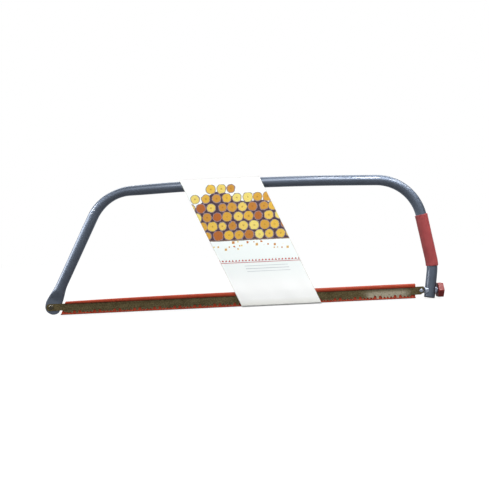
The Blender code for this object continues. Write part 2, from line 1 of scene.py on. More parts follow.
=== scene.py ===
"""Looks of a bow saw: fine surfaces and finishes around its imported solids.

Shapes are worked out in millimetres from the nose bolt, with X along the blade, Z up and the front of
the saw towards -Y, as arrays of points on a grid. The nose bolt's place comes from the frame.
"""

import math

import bmesh
import bpy
import numpy as np
from mathutils import Matrix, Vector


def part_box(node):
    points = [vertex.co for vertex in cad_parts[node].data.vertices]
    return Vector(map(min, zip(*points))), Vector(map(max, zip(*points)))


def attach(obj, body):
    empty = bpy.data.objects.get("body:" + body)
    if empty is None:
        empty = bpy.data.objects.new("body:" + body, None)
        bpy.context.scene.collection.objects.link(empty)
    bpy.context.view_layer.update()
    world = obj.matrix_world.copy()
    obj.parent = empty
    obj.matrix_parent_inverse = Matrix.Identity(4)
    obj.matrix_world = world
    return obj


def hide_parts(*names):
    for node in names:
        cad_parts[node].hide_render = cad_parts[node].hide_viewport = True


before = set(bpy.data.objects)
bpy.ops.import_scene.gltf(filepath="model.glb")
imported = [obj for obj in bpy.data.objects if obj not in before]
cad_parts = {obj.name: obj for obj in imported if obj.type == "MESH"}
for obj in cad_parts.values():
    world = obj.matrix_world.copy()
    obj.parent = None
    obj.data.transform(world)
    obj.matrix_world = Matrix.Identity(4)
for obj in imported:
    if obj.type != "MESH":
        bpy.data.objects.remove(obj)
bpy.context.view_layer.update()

MM = 0.001
INCH = 25.4
TURN = 2 * math.pi
HEX_FLAT = math.cos(math.pi / 6)
MERGE_WITHIN = 0.002
TURNED_SIDES = 64
SHAPED_SIDES = 96
NEARLY_ALONG = 0.9
MOST_OF_A_SIDE = 0.45
nose_low, nose_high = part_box("nose_bolt")
ORIGIN = np.array([(nose_low.x + nose_high.x) / 2, 0, (nose_low.z + nose_high.z) / 2])

# Bow: corners of the tube's centre line and the bends that round them
TUBE_RADIUS = INCH / 2
TUBE_WALL = 1.6
TUBE_EDGE = 0.4
TUBE_STEP = 3.5
TUBE_SIDES = 96
NOSE_LEAN = math.radians(27.3)
GRIP_LEAN = math.radians(10.1)
HEEL_LEAN = math.radians(8.4)
FOOT_OFFSET = 0.5
SHOULDER_HEIGHT = 271.2
CROWN = (480, 284.2)
REAR_HEIGHT = 268
KNEE = (930.8, 58)
HEEL_DROP = 17.6
HEEL_X = KNEE[0] - (KNEE[1] + HEEL_DROP) * math.tan(HEEL_LEAN)
BENDS = (112, 6500, 112, 110)
NUDGE = 1.5
SQUASH_AT = 322
SQUASH_REACH = 45
SQUASH = 0.12

# Flattened nose, with the distances from the bolt between which its measures pass over to the tube's
FLAT_HALF_THICKNESS = 1.7
FLAT_HALF_WIDTH = 18.8
FLAT_TIP = 16.5
WIDTH_PASSES = (8, 64)
THICKNESS_PASSES = (16, 46)
NOSE_SHIFT = 2
NOSE_SHIFTS = (8, -4)
FLAT_SHIFT = 1.2
FLAT_SHIFTS = (62, 30)
FLAT_SQUARENESS = 0.4
FLAT_DISH = 0.16
NOSE_END = 76
NOSE_STEP = 2

# Blade
PIN_SPACING = 900
BLADE_FRONT = -2.9
BLADE_BACK = -2.0
BLADE_TOP = 8
BLADE_ROWS = (0, 0.12, 0.35, 0.55, 0.68, 0.78, 0.87, 0.94, 1.0)
TANG_RADIUS = 8.3
TANG_CENTRE = (-3.7, -0.7)
TANG_SHOULDER = 26
TANG_END = 906.5
TANG_LOW = -11.5
TANG_CHAMFER = (8, 5.6)
TANG_CORNER = 2
TANG_STEP = 2

# Teeth
TOOTH_TIP = -17.5
TOOTH_PERIOD = 48.7
FIRST_RAKER = 14
TEETH_FROM = 36
TEETH_TO = 874
RAKER_HALF = 2.6
RAKER_SHORT = 0.3
RAKER_NOTCH = 1.6
GULLET_CENTRE = 6.4
GULLET_RADIUS = 3.2
GULLET_SPRING = 5
FIRST_PEG = 12.35
PEG_PITCH = 8
PEG_COUNT = 4
PEG_DEPTH = 5.6
PEG_PARTS = 8
TOOTH_SET = 0.32
SET_DEPTH = 6
FILED_DEPTH = 5.5
TIP_BEVEL = 1.5
ROOT_BEVEL = 0.45

# Painted highlight on the blade, a pale patch for its glare, in metres: its place along X, and over which
# distances and heights it fades
GLARE_PATCH_AT = 0.346
GLARE_PATCH_FADES = (0.03, 0.066)
GLARE_PATCH_HEIGHTS = (0.0185, 0.0235)
GLARE_PATCH_WANDER = 0.06

# Tensioner
DRAW_HEIGHT = -2
ROD_RADIUS = 4
ROD_BORE = 4.4
ROD_END = 949
PADDLE_FROM = 891
PADDLE_HALF_HEIGHT = 6.5
PADDLE_HALF_THICKNESS = 1.7
PADDLE_TO = 904.6
PADDLE_POWER = 0.5
ROD_FROM = 907.5
MILLED_TO = 911
MILLED_STEP = 0.6
SHANK_FROM = 914
THREAD_FROM = 930
THREAD_PITCH = INCH / 18
THREAD_DEPTH = 0.5
THREAD_STEP = 0.1
ROD_SIDES = 48
INNER_COLLAR = (907.6, 11, 7.6)
OUTER_COLLAR = (936.4, 7.8, 7.8)
COLLAR_EDGE = 0.6
COLLAR_POWER = 0.6
COLLAR_FIT = 0.03
COLLAR_LEAST = 0.02
GAP = 0.3
KNOB_WASHER = (8, 1.4)
KNOB_FROM = OUTER_COLLAR[0] + KNOB_WASHER[1] + 2 * GAP
KNOB_THICKNESS = 13
KNOB_RADIUS = 19.2
KNOB_EDGE = 1.1
KNOB_SHARPNESS = 70
KNOB_SIDES = 192
KNOB_DISH = 0.7
KNOB_DISH_ROWS = (0.78, 0.72, 0.6, 0.4, 0.2, 0.0)
DISH_FROM = 0.8
DISH_TO = 0.3
INSERT_RADIUS = 7.5
INSERT_THICKNESS = 6.5
INSERT_FIT = 0.2
INSERT_CHAMFER = 0.4
INSERT_SHARPNESS = 90
INSERT_LEVELS = (0.3, 0.8, 0.7)

# Fasteners
NOSE_HEAD = (5.9, 3)
STUD_HEAD = (4.5, 2.4)
HEAD_RIM = 0.35
HEAD_FIT = 0.02
STUD_TAIL = (4, 1.2)
TAIL_SHOULDER = 0.8
PIN_RADIUS = 2.5
PIN_CHAMFER = 0.5
NUT_RADIUS = 5
NUT_THICKNESS = 4
NUT_FIT = 0.1
NUT_SHARPNESS = 80
NUT_INSETS = (0.2, 0.25)
NUT_LEVELS = (0, 0.35, 0.9)
NOSE_WASHER = (5.5, 1.2)
NOSE_WASHER_FIT = 0.15
WASHER_EDGE = 0.25
PAST_NUT = 1.2

# Grip and plug
GRIP_RADIUS = 15
GRIP_LENGTH = 127
GRIP_EDGE = 0.9
GRIP_TAPER = 0.45
GRIP_FIT = 0.05
GRIP_PAST_KNEE = 0.8
GRIP_LIP = 3
LIP_SWELL = 0.15
GRIP_WAVES = ((0.08, 19, 0), (0.05, 7.3, 1))
GRIP_TIGHT = 0.1
GRIP_SIDES = 88
PLUG_FLANGE = 2
PLUG_INSERT = 9
PLUG_FIT = 0.2
PLUG_DISH = 0.5
PLUG_RIM = (3, 4)
PLUG_EDGE = 0.6

# Guard
GUARD_WALL = 1.2
GUARD_CLEAR = 0.5
BEAD_HALF_DEPTH = 3.1
BEAD_HALF_HEIGHT = 3.1
BEAD_HEIGHT = 9.3
BEAD_SWELL = 2
BEAD_RISE = 1.6
BEAD_FULL_AT = 400
SWELLS_TO = 0.46
SWELL_STEP = 0.005
BEAD_LIP = math.radians(250)
HEM_HEIGHT = -17.65
HEM_LIP = 0.65
GUARD_LEFT = 23.2
GUARD_RIGHT = 885
GUARD_SLANT = 0.45

# Card
CARD = 0.6
BELT_TOP = (0, 279.2)
BELT_TOP_RADIUS = 13.4
BELT_LOW = (-2.6, -16.6)
BELT_LOW_RADIUS = 4.2
CARD_LEFT = 326
CARD_WIDTH = 193
CARD_SLANT = 0.4375
CARD_COLUMNS = 72
CARD_BOW = 0.9
PANEL_TILT = 0.2
DENT = 1.5
DENT_HEIGHT = 14
DENT_REACH = 22
RIPPLE = 0.45
RIPPLES = ((15.5, 0.4), (5.2, 1.3))
SEAM_HEIGHT = 150
SEAM_LAP = 18
SEAM_STEP = 0.75
SEAM_RAMP = 12

# Print on the card in units of 100 mm, inside a log in log widths, and across the card in card widths
PRINT_UNIT = 100
PRINT_MIDDLE = 1.55
PRINT_REACH = 1.5
LOW_CARD_PAINTED_LIGHT = (2.2, 2.7)
LOG_WIDE = 0.25
LOG_ROW = 0.225
LOG_ROWS = 7
LOG_MIDDLES = (0.44, 0.56)
LOG_SIZES = (0.44, 0.55)
LOG_WANDER = 0.22
LOG_RINGS = 62.0
LOG_HEART = (0.03, 0.12)
BARK = (0.07, 0.11)
LOG_EDGE = 0.03
STACK_TOP = 0.46
STACK_SWELL = (0.2, 2.1, 2.4)
STACK_RIPPLE = (0.1, 5.3)
STACK_FILL = 0.22
GROUND_AT = LOG_ROW * LOG_ROWS + 0.012
GROUND_HALF = 0.014
GROUND_WANDER = 0.03
CHIPS_AT = 1.71
CHIPS_REACH = 0.1
CHIP_CELLS = 12.0
CHIP_SHARE = 0.5
CHIP_SIZE = 0.4
BORDER_AT = 2.06
TOOTH_STEP = 0.04
TOOTH_STEEP = 1.5
TOOTH_FOOT = 0.045
RULE_AT = 0.075
RULE_HALF = 0.007
LINES_AT = 0.23
LINES_REACH = 0.075
LINES_ACROSS = (0.55, 0.27)
LINE_STEP = 0.035
LINE_HALF = 0.009
WORN_RIM = (0.493, 0.4965)
CREST_PAINTED_SHADE = (0.05, 0.09)
FOLD_SHADE_AT = 3.15
FOLD_SHADE_REACH = 0.12

# Finishes: the part of a noise's range that most of it lies in, and its roughness
NOISE_SPAN = (0.3, 0.7)
NOISE_ROUGHNESS = 0.55

# Camera
IMAGE_SIZE = 489
MM_PER_PIXEL = 2.433
CAMERA_AIM = (476.2, 130.1)
CAMERA_DISTANCE = 1400
CAMERA_ROLL = math.radians(2.717)
SENSOR = 36

# Studio, in metres and watts, with each lamp's place, aim, size and power
WHITE = (1, 1, 1, 1)
FLOOR_REACH = 6
FLOOR_SINK = 0.0005
FLOOR_GREY = (0.12, 0.12, 0.12, 1)
DIM_ROOM = 0.2
SKY_LIGHT = 0.08
GROUND_BRIGHTENS = (0.1, 0.9)
SKY_BRIGHTENS = (0.5, 0.9)
SHADOW_FADES = (0.6, 1.4)
SHADOW_GLOW = 0.82
LAMPS = {
    "top_strip": ((0, 0.3, 1.5), (0, 0, 0.25), (2.2, 0.5), 6),
    "front_strip": ((0.1, -0.92, 1.17), (0.1, 0, 0.25), (2.0, 0.4), 2.8),
    "back_strip": ((0, 0.92, 1.17), (0, 0, 0.25), (2.2, 0.5), 15),
    "front_fill": ((0.25, -1.9, 1.7), (0.05, 0, 0.15), (1.6, 1.2), 31),
    "left_box": ((-1.35, -0.02, 0.5), (-0.4, 0, 0.15), (0.8, 0.6), 10),
    "right_key": ((0.57, -0.62, 1.05), (0.57, 0, 0.3), (0.13, 0.5), 7),
    "middle_glare": ((0.37, -0.5, 1.13), (0.37, 0, 0.3), (0.12, 0.4), 2.5),
    "left_glare": ((-1.17, -0.2, 0.78), (-0.35, 0, 0.25), (0.2, 0.2), 5),
    "right_top": ((1.05, -0.1, 1.0), (0.45, 0, 0.12), (0.4, 0.4), 6),
    "bolt_glint": ((-0.88, -0.77, 0.52), (-0.467, 0, 0.02), (0.06, 0.06), 1.6),
    "knob_glint": ((0.77, -0.57, 0.81), (0.475, 0, 0.02), (0.15, 0.15), 2.2),
}


def circle(sides):
    """Angles that share out a full turn."""
    return np.linspace(0, TURN, sides, endpoint=False)


def quarter(steps):
    """Angles from 0 to a right angle."""
    return np.linspace(0, math.pi / 2, steps)


def smooth(share):
    """Smoothstep of an array: 0 below 0, 1 above 1, and 3s² - 2s³ between."""
    share = np.clip(share, 0, 1)
    return share * share * (3 - 2 * share)


def passing(value, start, stop):
    """Smoothstep of a value on its way from a start to a stop."""
    return smooth((value - start) / (stop - start))


def powered(wave, power):
    """A wave between -1 and 1 raised to a power, with its sign kept."""
    return np.sign(wave) * np.abs(wave) ** power


def stacked(x, y, z):
    """Three arrays of like shape as one array of points."""
    return np.stack(np.broadcast_arrays(x, y, z), axis=-1).astype(float)


def eased(profile, reach, steps=5):
    """A profile with its inner corners rounded.

    Each corner becomes the quadratic curve between the points that lie a short reach before and after it.
    """
    profile = np.asarray(profile, float)
    corner = profile[1:-1]

    def towards(other):
        step = other - corner
        length = np.linalg.norm(step, axis=1, keepdims=True)
        return corner + step * np.minimum(reach / length, MOST_OF_A_SIDE)

    start = towards(profile[:-2])[:, None]
    stop = towards(profile[2:])[:, None]
    t = np.linspace(0, 1, steps)[None, :, None]
    curve = (1 - t) ** 2 * start + 2 * t * (1 - t) * corner[:, None] + t * t * stop
    return np.vstack([profile[:1], curve.reshape(-1, 2), profile[-1:]])


def turned(profile, centre, axis):
    """A profile of (radius, height) carried round an axis.

    Point = centre + height * axis + radius * (cos a * side + sin a * other), for a over a full turn.
    """
    profile = np.asarray(profile, float)
    axis = np.asarray(axis, float) / np.linalg.norm(axis)
    side = np.cross(axis, (0, 1, 0) if abs(axis[1]) < NEARLY_ALONG else (1, 0, 0))
    side /= np.linalg.norm(side)
    other = np.cross(axis, side)
    angle = circle(TURNED_SIDES)
    spoke = np.cos(angle)[:, None] * side + np.sin(angle)[:, None] * other
    return np.asarray(centre, float) + profile[:, 1, None, None] * axis + profile[:, 0, None, None] * spoke


def skin(name, grid, along=False, caps=(), crease=32, uv=None, marks=None):
    """An object whose quads join neighbouring rows and columns of a grid of points.

    Every row closes on itself, along closes the last row onto the first, and caps names the end rows
    (0, -1) that get one flat face. Coinciding points, as at a pole, are merged. Faces are turned outwards
    by the sign of the volume that they enclose. marks are named values at the grid's points.
    """
    rows, columns = grid.shape[:2]
    index = np.arange(rows * columns).reshape(rows, columns)

    def corners(table):
        return np.stack([table[:-1, :-1], table[:-1, 1:], table[1:, 1:], table[1:, :-1]], axis=2)

    quads = corners(np.pad(index, ((0, int(along)), (0, 1)), mode="wrap")).reshape(-1, 4)
    points = grid.reshape(-1, 3)
    spread = (points - points.mean(axis=0))[quads]
    volume = np.sum(spread[:, 0] * np.cross(spread[:, 1], spread[:, 2]))
    volume += np.sum(spread[:, 0] * np.cross(spread[:, 2], spread[:, 3]))
    order = 1 if volume > 0 else -1
    faces = quads[:, ::order].tolist()
    ends = {0: index[0][::-order], -1: index[-1][::order]}
    faces += [ends[cap].tolist() for cap in caps]
    mesh = bpy.data.meshes.new(name)
    mesh.from_pydata((points * MM + ORIGIN).tolist(), [], faces)
    if uv is not None:
        layer = mesh.uv_layers.new(name="print")
        spots = corners(uv).reshape(-1, 4, 2)[:, ::order].reshape(-1)
        spots = np.hstack([spots, np.zeros(2 * len(mesh.loops) - len(spots))])
        layer.uv.foreach_set("vector", spots.astype(np.float32))
    for mark, values in (marks or {}).items():
        field = mesh.attributes.new(mark, "FLOAT", "POINT")
        field.data.foreach_set("value", np.broadcast_to(values, (rows, columns)).astype(np.float32).ravel())
    body = bmesh.new()
    body.from_mesh(mesh)
    bmesh.ops.remove_doubles(body, verts=body.verts, dist=MERGE_WITHIN * MM)
    body.to_mesh(mesh)
    body.free()
    mesh.shade_smooth()
    mesh.set_sharp_from_angle(angle=math.radians(crease))
    return placed(name, mesh)


def placed(name, data):
    """An object of the scene that holds a mesh, a lamp or a camera."""
    made = bpy.data.objects.new(name, data)
    bpy.context.scene.collection.objects.link(made)
    return made


def dress(piece, body, finish, node):
    """Give a piece its finish, let it ride on its body and stand for its solid."""
    piece.data.materials.append(finish)
    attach(piece, body)
    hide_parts(node)


def bow_line():
    """Centre line of the bow as dense points in the X-Z plane, and each one's distance from the nose bolt.

    Straights join the corners. At a corner, point = begin + bend * (inward * (1 - cos a) + came * sin a).
    """
    foot = np.array([FOOT_OFFSET, 0.0])
    shoulder = foot + SHOULDER_HEIGHT * np.array([math.tan(NOSE_LEAN), 1])
    rear = np.array([KNEE[0] - (REAR_HEIGHT - KNEE[1]) * math.tan(GRIP_LEAN), REAR_HEIGHT])
    heel = np.array([HEEL_X, -HEEL_DROP])
    corners = np.array([foot, shoulder, CROWN, rear, KNEE, heel])
    units = np.diff(corners, axis=0)
    units /= np.linalg.norm(units, axis=1, keepdims=True)
    came = units[:-1]
    inward = np.stack([came[:, 1], -came[:, 0]], axis=1)
    turn = np.arccos(np.sum(units[:-1] * units[1:], axis=1))
    bends = np.array(BENDS, float)
    begin = corners[1:-1] - came * (bends * np.tan(turn / 2))[:, None]
    angle = turn[:, None, None] * np.linspace(0, 1, 90)[None, :, None]
    swing = inward[:, None] * (1 - np.cos(angle)) + came[:, None] * np.sin(angle)
    arcs = begin[:, None] + bends[:, None, None] * swing
    tip = foot - units[0] * FLAT_TIP
    line = np.vstack([tip, arcs.reshape(-1, 2), heel])
    run = np.hstack([[0], np.cumsum(np.linalg.norm(np.diff(line, axis=0), axis=1))]) - FLAT_TIP
    return line, run


BOW_LINE, BOW_RUN = bow_line()
BOW_END = BOW_RUN[-1]
KNEE_RUN = BOW_END - (KNEE[1] + HEEL_DROP) / math.cos(HEEL_LEAN)


def on_bow(run):
    """Centre and heading of the bow at distances from the nose bolt, read from its line."""
    def spot(r):
        return np.stack([np.interp(r, BOW_RUN, BOW_LINE[:, axis]) for axis in (0, 1)], axis=-1)

    ahead = spot(np.minimum(run + NUDGE, BOW_END)) - spot(np.maximum(run - NUDGE, -FLAT_TIP))
    return spot(run), ahead / np.linalg.norm(ahead, axis=-1, keepdims=True)


def carried(run, across, depth):
    """Points of sections carried along the bow: across is in its plane and square to it, depth along Y."""
    centre, heading = on_bow(run)
    x = centre[:, None, 0] + heading[:, None, 1] * across
    z = centre[:, None, 1] - heading[:, None, 0] * across
    return stacked(x, depth, z)


def frame_tube():
    """The bow: a squared oval, (cos^e, sin^e), carried along its centre line.

    From the nose bolt upwards half thickness, half width and the power e pass smoothly from the flat to the
    round tube, and the tip of the flat lies a little to the right. The left bend is slightly squashed in its
    plane. Past the lower end the wall turns in and runs back up past the plug, where a flat face closes it.
    """
    tip = -FLAT_TIP * np.cos(quarter(24))
    nose = np.arange(NOSE_STEP, NOSE_END, NOSE_STEP)
    edge_at = BOW_END - TUBE_EDGE
    run = np.hstack([tip, nose, np.arange(NOSE_END, edge_at, TUBE_STEP), [edge_at, BOW_END]])
    share = passing(run, *THICKNESS_PASSES)
    thick = FLAT_HALF_THICKNESS + (TUBE_RADIUS - FLAT_HALF_THICKNESS) * share
    width = FLAT_HALF_WIDTH + (TUBE_RADIUS - FLAT_HALF_WIDTH) * passing(run, *WIDTH_PASSES)
    width = width * (1 - SQUASH * np.exp(-(((run - SQUASH_AT) / SQUASH_REACH) ** 2)))
    past = np.clip(-run / FLAT_TIP, 0, 1)
    width = width * np.sqrt(1 - past**2)
    edge = np.clip(1 - (run + FLAT_TIP) / FLAT_HALF_THICKNESS, 0, 1)
    thick = thick * np.sqrt(1 - edge**2)
    power = FLAT_SQUARENESS + (1 - FLAT_SQUARENESS) * share
    dish = FLAT_DISH * (1 - share)
    thick[-1] -= TUBE_EDGE
    width[-1] -= TUBE_EDGE
    bore = TUBE_RADIUS - TUBE_WALL
    run = np.append(run, [BOW_END, BOW_END - PLUG_INSERT])
    thick = np.append(thick, [bore, bore])[:, None]
    width = np.append(width, [bore, bore])[:, None]
    power = np.append(power, [1, 1])[:, None]
    dish = np.append(dish, [0, 0])[:, None]
    shift = NOSE_SHIFT * passing(run, *NOSE_SHIFTS)
    shift = shift + FLAT_SHIFT * passing(run, *FLAT_SHIFTS)
    angle = circle(TUBE_SIDES)
    lateral = powered(np.cos(angle), power)
    hollow = 1 - dish * (1 - lateral**2)
    depth = thick * powered(np.sin(angle), power) * hollow
    return skin("bow_tube", carried(run, shift[:, None] + width * lateral, depth), caps=(-1,))


def hand_grip():
    """The vinyl grip: a loop of (distance, radius) carried round the bow, so that it follows the knee.

    Its outside is slightly fuller at both lips, uneven along its length and tighter towards its lower end.
    """
    inner = TUBE_RADIUS + GRIP_FIT
    outside = [(0, inner), (0, GRIP_RADIUS), (GRIP_LENGTH, GRIP_RADIUS), (GRIP_LENGTH, inner)]
    loop = eased(outside, GRIP_EDGE, 9)
    up = np.linspace(2, GRIP_LENGTH - 2, 60)
    upper = np.stack([up, np.full_like(up, GRIP_RADIUS)], axis=1)
    split = len(loop) // 2
    up, radius = np.vstack([loop[:split], upper, loop[split:]]).T
    lip = np.exp(-((up - GRIP_LIP) / GRIP_LIP) ** 2)
    lip = lip + np.exp(-((up - GRIP_LENGTH + GRIP_LIP) / GRIP_LIP) ** 2)
    waves = sum(size * np.sin(up / reach + start) for size, reach, start in GRIP_WAVES)
    swell = LIP_SWELL * lip + waves - GRIP_TIGHT - GRIP_TAPER * (1 - up / GRIP_LENGTH)
    radius = (radius + swell * (radius > inner + 1))[:, None]
    angle = circle(GRIP_SIDES)
    grid = carried(KNEE_RUN + GRIP_PAST_KNEE - up, radius * np.cos(angle), radius * np.sin(angle))
    return skin("vinyl_grip", grid, along=True)


def end_plug():
    """Plug in the lower end: a turned flange with a round rim and a shallow dished face, and its insert."""
    centre, heading = on_bow(BOW_END)
    flange = TUBE_RADIUS - PLUG_FIT
    insert = TUBE_RADIUS - TUBE_WALL - PLUG_FIT
    face = PLUG_FLANGE + GAP
    sunk = face - PLUG_DISH
    end = PLUG_DISH - PLUG_INSERT
    profile = [(0, sunk), (flange - PLUG_RIM[1], sunk), (flange - PLUG_RIM[0], face), (flange, face)]
    profile += [(flange, GAP), (insert, GAP), (insert, end), (0, end)]
    grid = turned(eased(profile, PLUG_EDGE), (centre[0], 0, centre[1]), (heading[0], 0, heading[1]))
    return skin("heel_plug", grid)


def tooth_period():
    """One period of the toothed edge: distance from its raker, height, and which way the tooth leans.

    A raker with a notch, a round gullet, pegs that lean front and back by turns, and another gullet.
    """
    bow = np.linspace(math.pi, 0, 11)
    gullet_x = GULLET_RADIUS * np.cos(bow)
    gullet_z = TOOTH_TIP + GULLET_SPRING + GULLET_RADIUS * np.sin(bow)
    tips = FIRST_PEG + PEG_PITCH * np.arange(PEG_COUNT)
    part = np.arange(0, (PEG_COUNT - 1) * PEG_PARTS + 1)
    peg_x = FIRST_PEG + PEG_PITCH * part / PEG_PARTS
    peg_z = TOOTH_TIP + PEG_DEPTH * (1 - np.abs(1 - (part % PEG_PARTS) / (PEG_PARTS / 2)))
    nearest = np.argmin(np.abs(peg_x[:, None] - tips), axis=1)
    peg_lean = np.where(nearest % 2 == 0, 1.0, -1.0)
    raker_x = np.array([-RAKER_HALF, 0, RAKER_HALF])
    raker_z = TOOTH_TIP + np.array([RAKER_SHORT, RAKER_NOTCH, RAKER_SHORT])
    x = np.hstack([raker_x, GULLET_CENTRE + gullet_x, peg_x, TOOTH_PERIOD - GULLET_CENTRE + gullet_x])
    z = np.hstack([raker_z, gullet_z, peg_z, gullet_z])
    lean = np.hstack([np.zeros(raker_x.size + bow.size), peg_lean, np.zeros(bow.size)])
    return x, z, lean


def blade_edges():
    """Lower edge of the blade from the nose to the rear, its lean, and the upper edge over the same x."""
    x, z, lean = tooth_period()
    shift = FIRST_RAKER + TOOTH_PERIOD * np.arange(math.ceil(TEETH_TO / TOOTH_PERIOD))[:, None]
    teeth_x = (shift + x).ravel()
    teeth_z = np.tile(z, len(shift))
    teeth_lean = np.tile(lean, len(shift))
    kept = (teeth_x > TEETH_FROM) & (teeth_x < TEETH_TO)
    round_end = np.linspace(math.pi, 1.5 * math.pi, 16)
    nose_x = TANG_CENTRE[0] + TANG_RADIUS * np.cos(round_end)
    nose_z = TANG_CENTRE[1] + TANG_RADIUS * np.sin(round_end)
    bottom = TANG_CENTRE[1] - TANG_RADIUS
    corner = TANG_END - TANG_CORNER + TANG_CORNER * np.sin(quarter(9))
    chamfer = (corner - TANG_END + TANG_CHAMFER[0]) / TANG_CHAMFER[0]
    rear_x = np.hstack([[TEETH_TO + TANG_STEP, TANG_END - TANG_CHAMFER[0]], corner])
    rear_z = np.hstack([[TANG_LOW, TANG_LOW], TANG_LOW + TANG_CHAMFER[1] * chamfer])
    low_x = np.hstack([nose_x, [TANG_SHOULDER], teeth_x[kept], rear_x])
    low_z = np.hstack([nose_z, [bottom], teeth_z[kept], rear_z])
    low_lean = np.hstack([np.zeros(len(nose_x) + 1), teeth_lean[kept], np.zeros(len(rear_x))])
    before = np.minimum(low_x - TANG_CENTRE[0], 0)
    nose_top = TANG_CENTRE[1] + np.sqrt(np.maximum(TANG_RADIUS**2 - before**2, 0))
    back = nose_top + (BLADE_TOP - TANG_CENTRE[1] - TANG_RADIUS) * np.clip(low_x / TANG_END, 0, 1)
    rounding = np.clip(low_x - TANG_END + TANG_CORNER, 0, TANG_CORNER)
    top = back - TANG_CORNER + np.sqrt(TANG_CORNER**2 - rounding**2)
    return low_x, low_z, low_lean, top


def saw_blade():
    """The blade: front and back faces stretched from its upper edge to its toothed edge.

    Point = (x, face + set, top + v * (edge - top)). The teeth lean out by their set, in step with their
    depth, and the side that faces in is filed back to a bevel. The mark is 1 on the filed edges.
    """
    x, low, lean, top = blade_edges()
    v = np.array(BLADE_ROWS)
    tooth = (low < TOOTH_TIP + FILED_DEPTH) & (x > TEETH_FROM) & (x < TEETH_TO)
    tipness = np.clip((TOOTH_TIP + PEG_DEPTH - low) / PEG_DEPTH, 0, 1)
    filed = np.where(tooth, ROOT_BEVEL + (TIP_BEVEL - ROOT_BEVEL) * tipness, 0)
    front_low = low + filed * (lean < 0)
    back_low = low + filed * (lean > 0)
    front_z = top[:, None] + v * (front_low - top)[:, None]
    back_z = top[:, None] + v[::-1] * (back_low - top)[:, None]
    z = np.hstack([front_z, back_z])
    below = np.clip((TOOTH_TIP + SET_DEPTH - z) / SET_DEPTH, 0, 1)
    y = np.repeat([BLADE_FRONT, BLADE_BACK], v.size) + TOOTH_SET * lean[:, None] * below
    ground = np.hstack([v, v[::-1]]) == 1
    marks = {"filed": ground * tooth[:, None] * 1.0}
    return skin("toothed_blade", stacked(x[:, None], y, z), caps=(-1,), crease=20, marks=marks)


def blade_guard():
    """The guard: a bead over the blade's back, a wall behind it and a hem under the teeth, carried along X.

    The section is an oval arc, a straight wall and a half circle, followed out and back one wall thick.
    The oval swells and rises along the first part, and the nose end is cut on a slant.
    """
    swelling = np.linspace(0, SWELLS_TO, 70)
    even = np.linspace(SWELLS_TO + SWELL_STEP, 1, 60)
    u = np.hstack([swelling, even])[:, None]
    share = np.clip(u * (GUARD_RIGHT - GUARD_LEFT) / (BEAD_FULL_AT - GUARD_LEFT), 0, 1)
    full = share * (2 - share)
    half_wall = GUARD_WALL / 2
    wall = BLADE_BACK + GUARD_CLEAR + GUARD_WALL
    bead_y = wall - BEAD_HALF_DEPTH
    bead_z = BEAD_HEIGHT + BEAD_RISE * full
    half = BEAD_HALF_HEIGHT + BEAD_SWELL * full
    bead_arc = np.linspace(BEAD_LIP, 0, 36)
    hem_outer = (wall - BLADE_FRONT + GUARD_CLEAR + GUARD_WALL) / 2
    hem_inner = hem_outer - GUARD_WALL
    hem_y = wall - hem_outer
    hem_arc = np.linspace(0, -math.pi, 20)
    lip_arc = np.linspace(0, math.pi, 7)
    lip_y = bead_y + (BEAD_HALF_DEPTH - half_wall) * math.cos(BEAD_LIP)
    lip_z = bead_z + (half - half_wall) * math.sin(BEAD_LIP)

    def arc(mid_y, mid_z, half_y, half_z, angle):
        return mid_y + half_y * np.cos(angle), mid_z + half_z * np.sin(angle) * np.ones_like(u)

    arcs = [
        arc(bead_y, bead_z, BEAD_HALF_DEPTH, half, bead_arc),
        arc(hem_y, HEM_HEIGHT, hem_outer, hem_outer, hem_arc),
        arc(hem_y - hem_outer + half_wall, HEM_HEIGHT + HEM_LIP, -half_wall, half_wall, lip_arc),
        arc(hem_y, HEM_HEIGHT, hem_inner, hem_inner, hem_arc[::-1]),
        arc(bead_y, bead_z, BEAD_HALF_DEPTH - GUARD_WALL, half - GUARD_WALL, bead_arc[::-1]),
        arc(lip_y, lip_z, half_wall, half_wall, BEAD_LIP + lip_arc[::-1]),
    ]
    y, z = (np.hstack(part) for part in zip(*arcs))
    left = GUARD_LEFT + (z - HEM_HEIGHT) * GUARD_SLANT
    x = left + u * (GUARD_RIGHT - left)
    return skin("red_guard", stacked(x, y, z), caps=(0, -1))


def belt():
    """The card's loop in the Y-Z plane: points, outward normals and distance from the top, front side first.

    Two circles, round the tube and round the guard's hem, are joined by their outer tangents.
    """
    rise = BELT_TOP[1] - BELT_LOW[1]
    lean = BELT_LOW[0] - BELT_TOP[0]
    tilt = math.atan2(lean, rise)
    wedge = math.asin((BELT_TOP_RADIUS - BELT_LOW_RADIUS) / math.hypot(rise, lean))
    front = math.pi + tilt + wedge
    back = tilt - wedge
    over = np.linspace(math.pi / 2, front, 40)
    under = np.linspace(front, back + TURN, 32)
    behind = np.linspace(back, math.pi / 2, 40)
    down = np.linspace(0, 1, 150)[1:-1]
    up = np.linspace(0, 1, 120)[1:-1]
    turn = np.hstack([over, np.full(down.size, front), under, np.full(up.size, back), behind])
    fall = np.hstack([np.zeros(over.size), down, np.ones(under.size), 1 - up, np.zeros(behind.size)])
    normal = np.stack([np.cos(turn), np.sin(turn)], axis=1)
    centre = np.array(BELT_TOP) + fall[:, None] * (np.array(BELT_LOW) - np.array(BELT_TOP))
    radius = BELT_TOP_RADIUS + fall * (BELT_LOW_RADIUS - BELT_TOP_RADIUS)
    points = centre + radius[:, None] * normal
    steps = np.linalg.norm(np.diff(points, axis=0), axis=1)
    return points, normal, np.hstack([[0], np.cumsum(steps)])


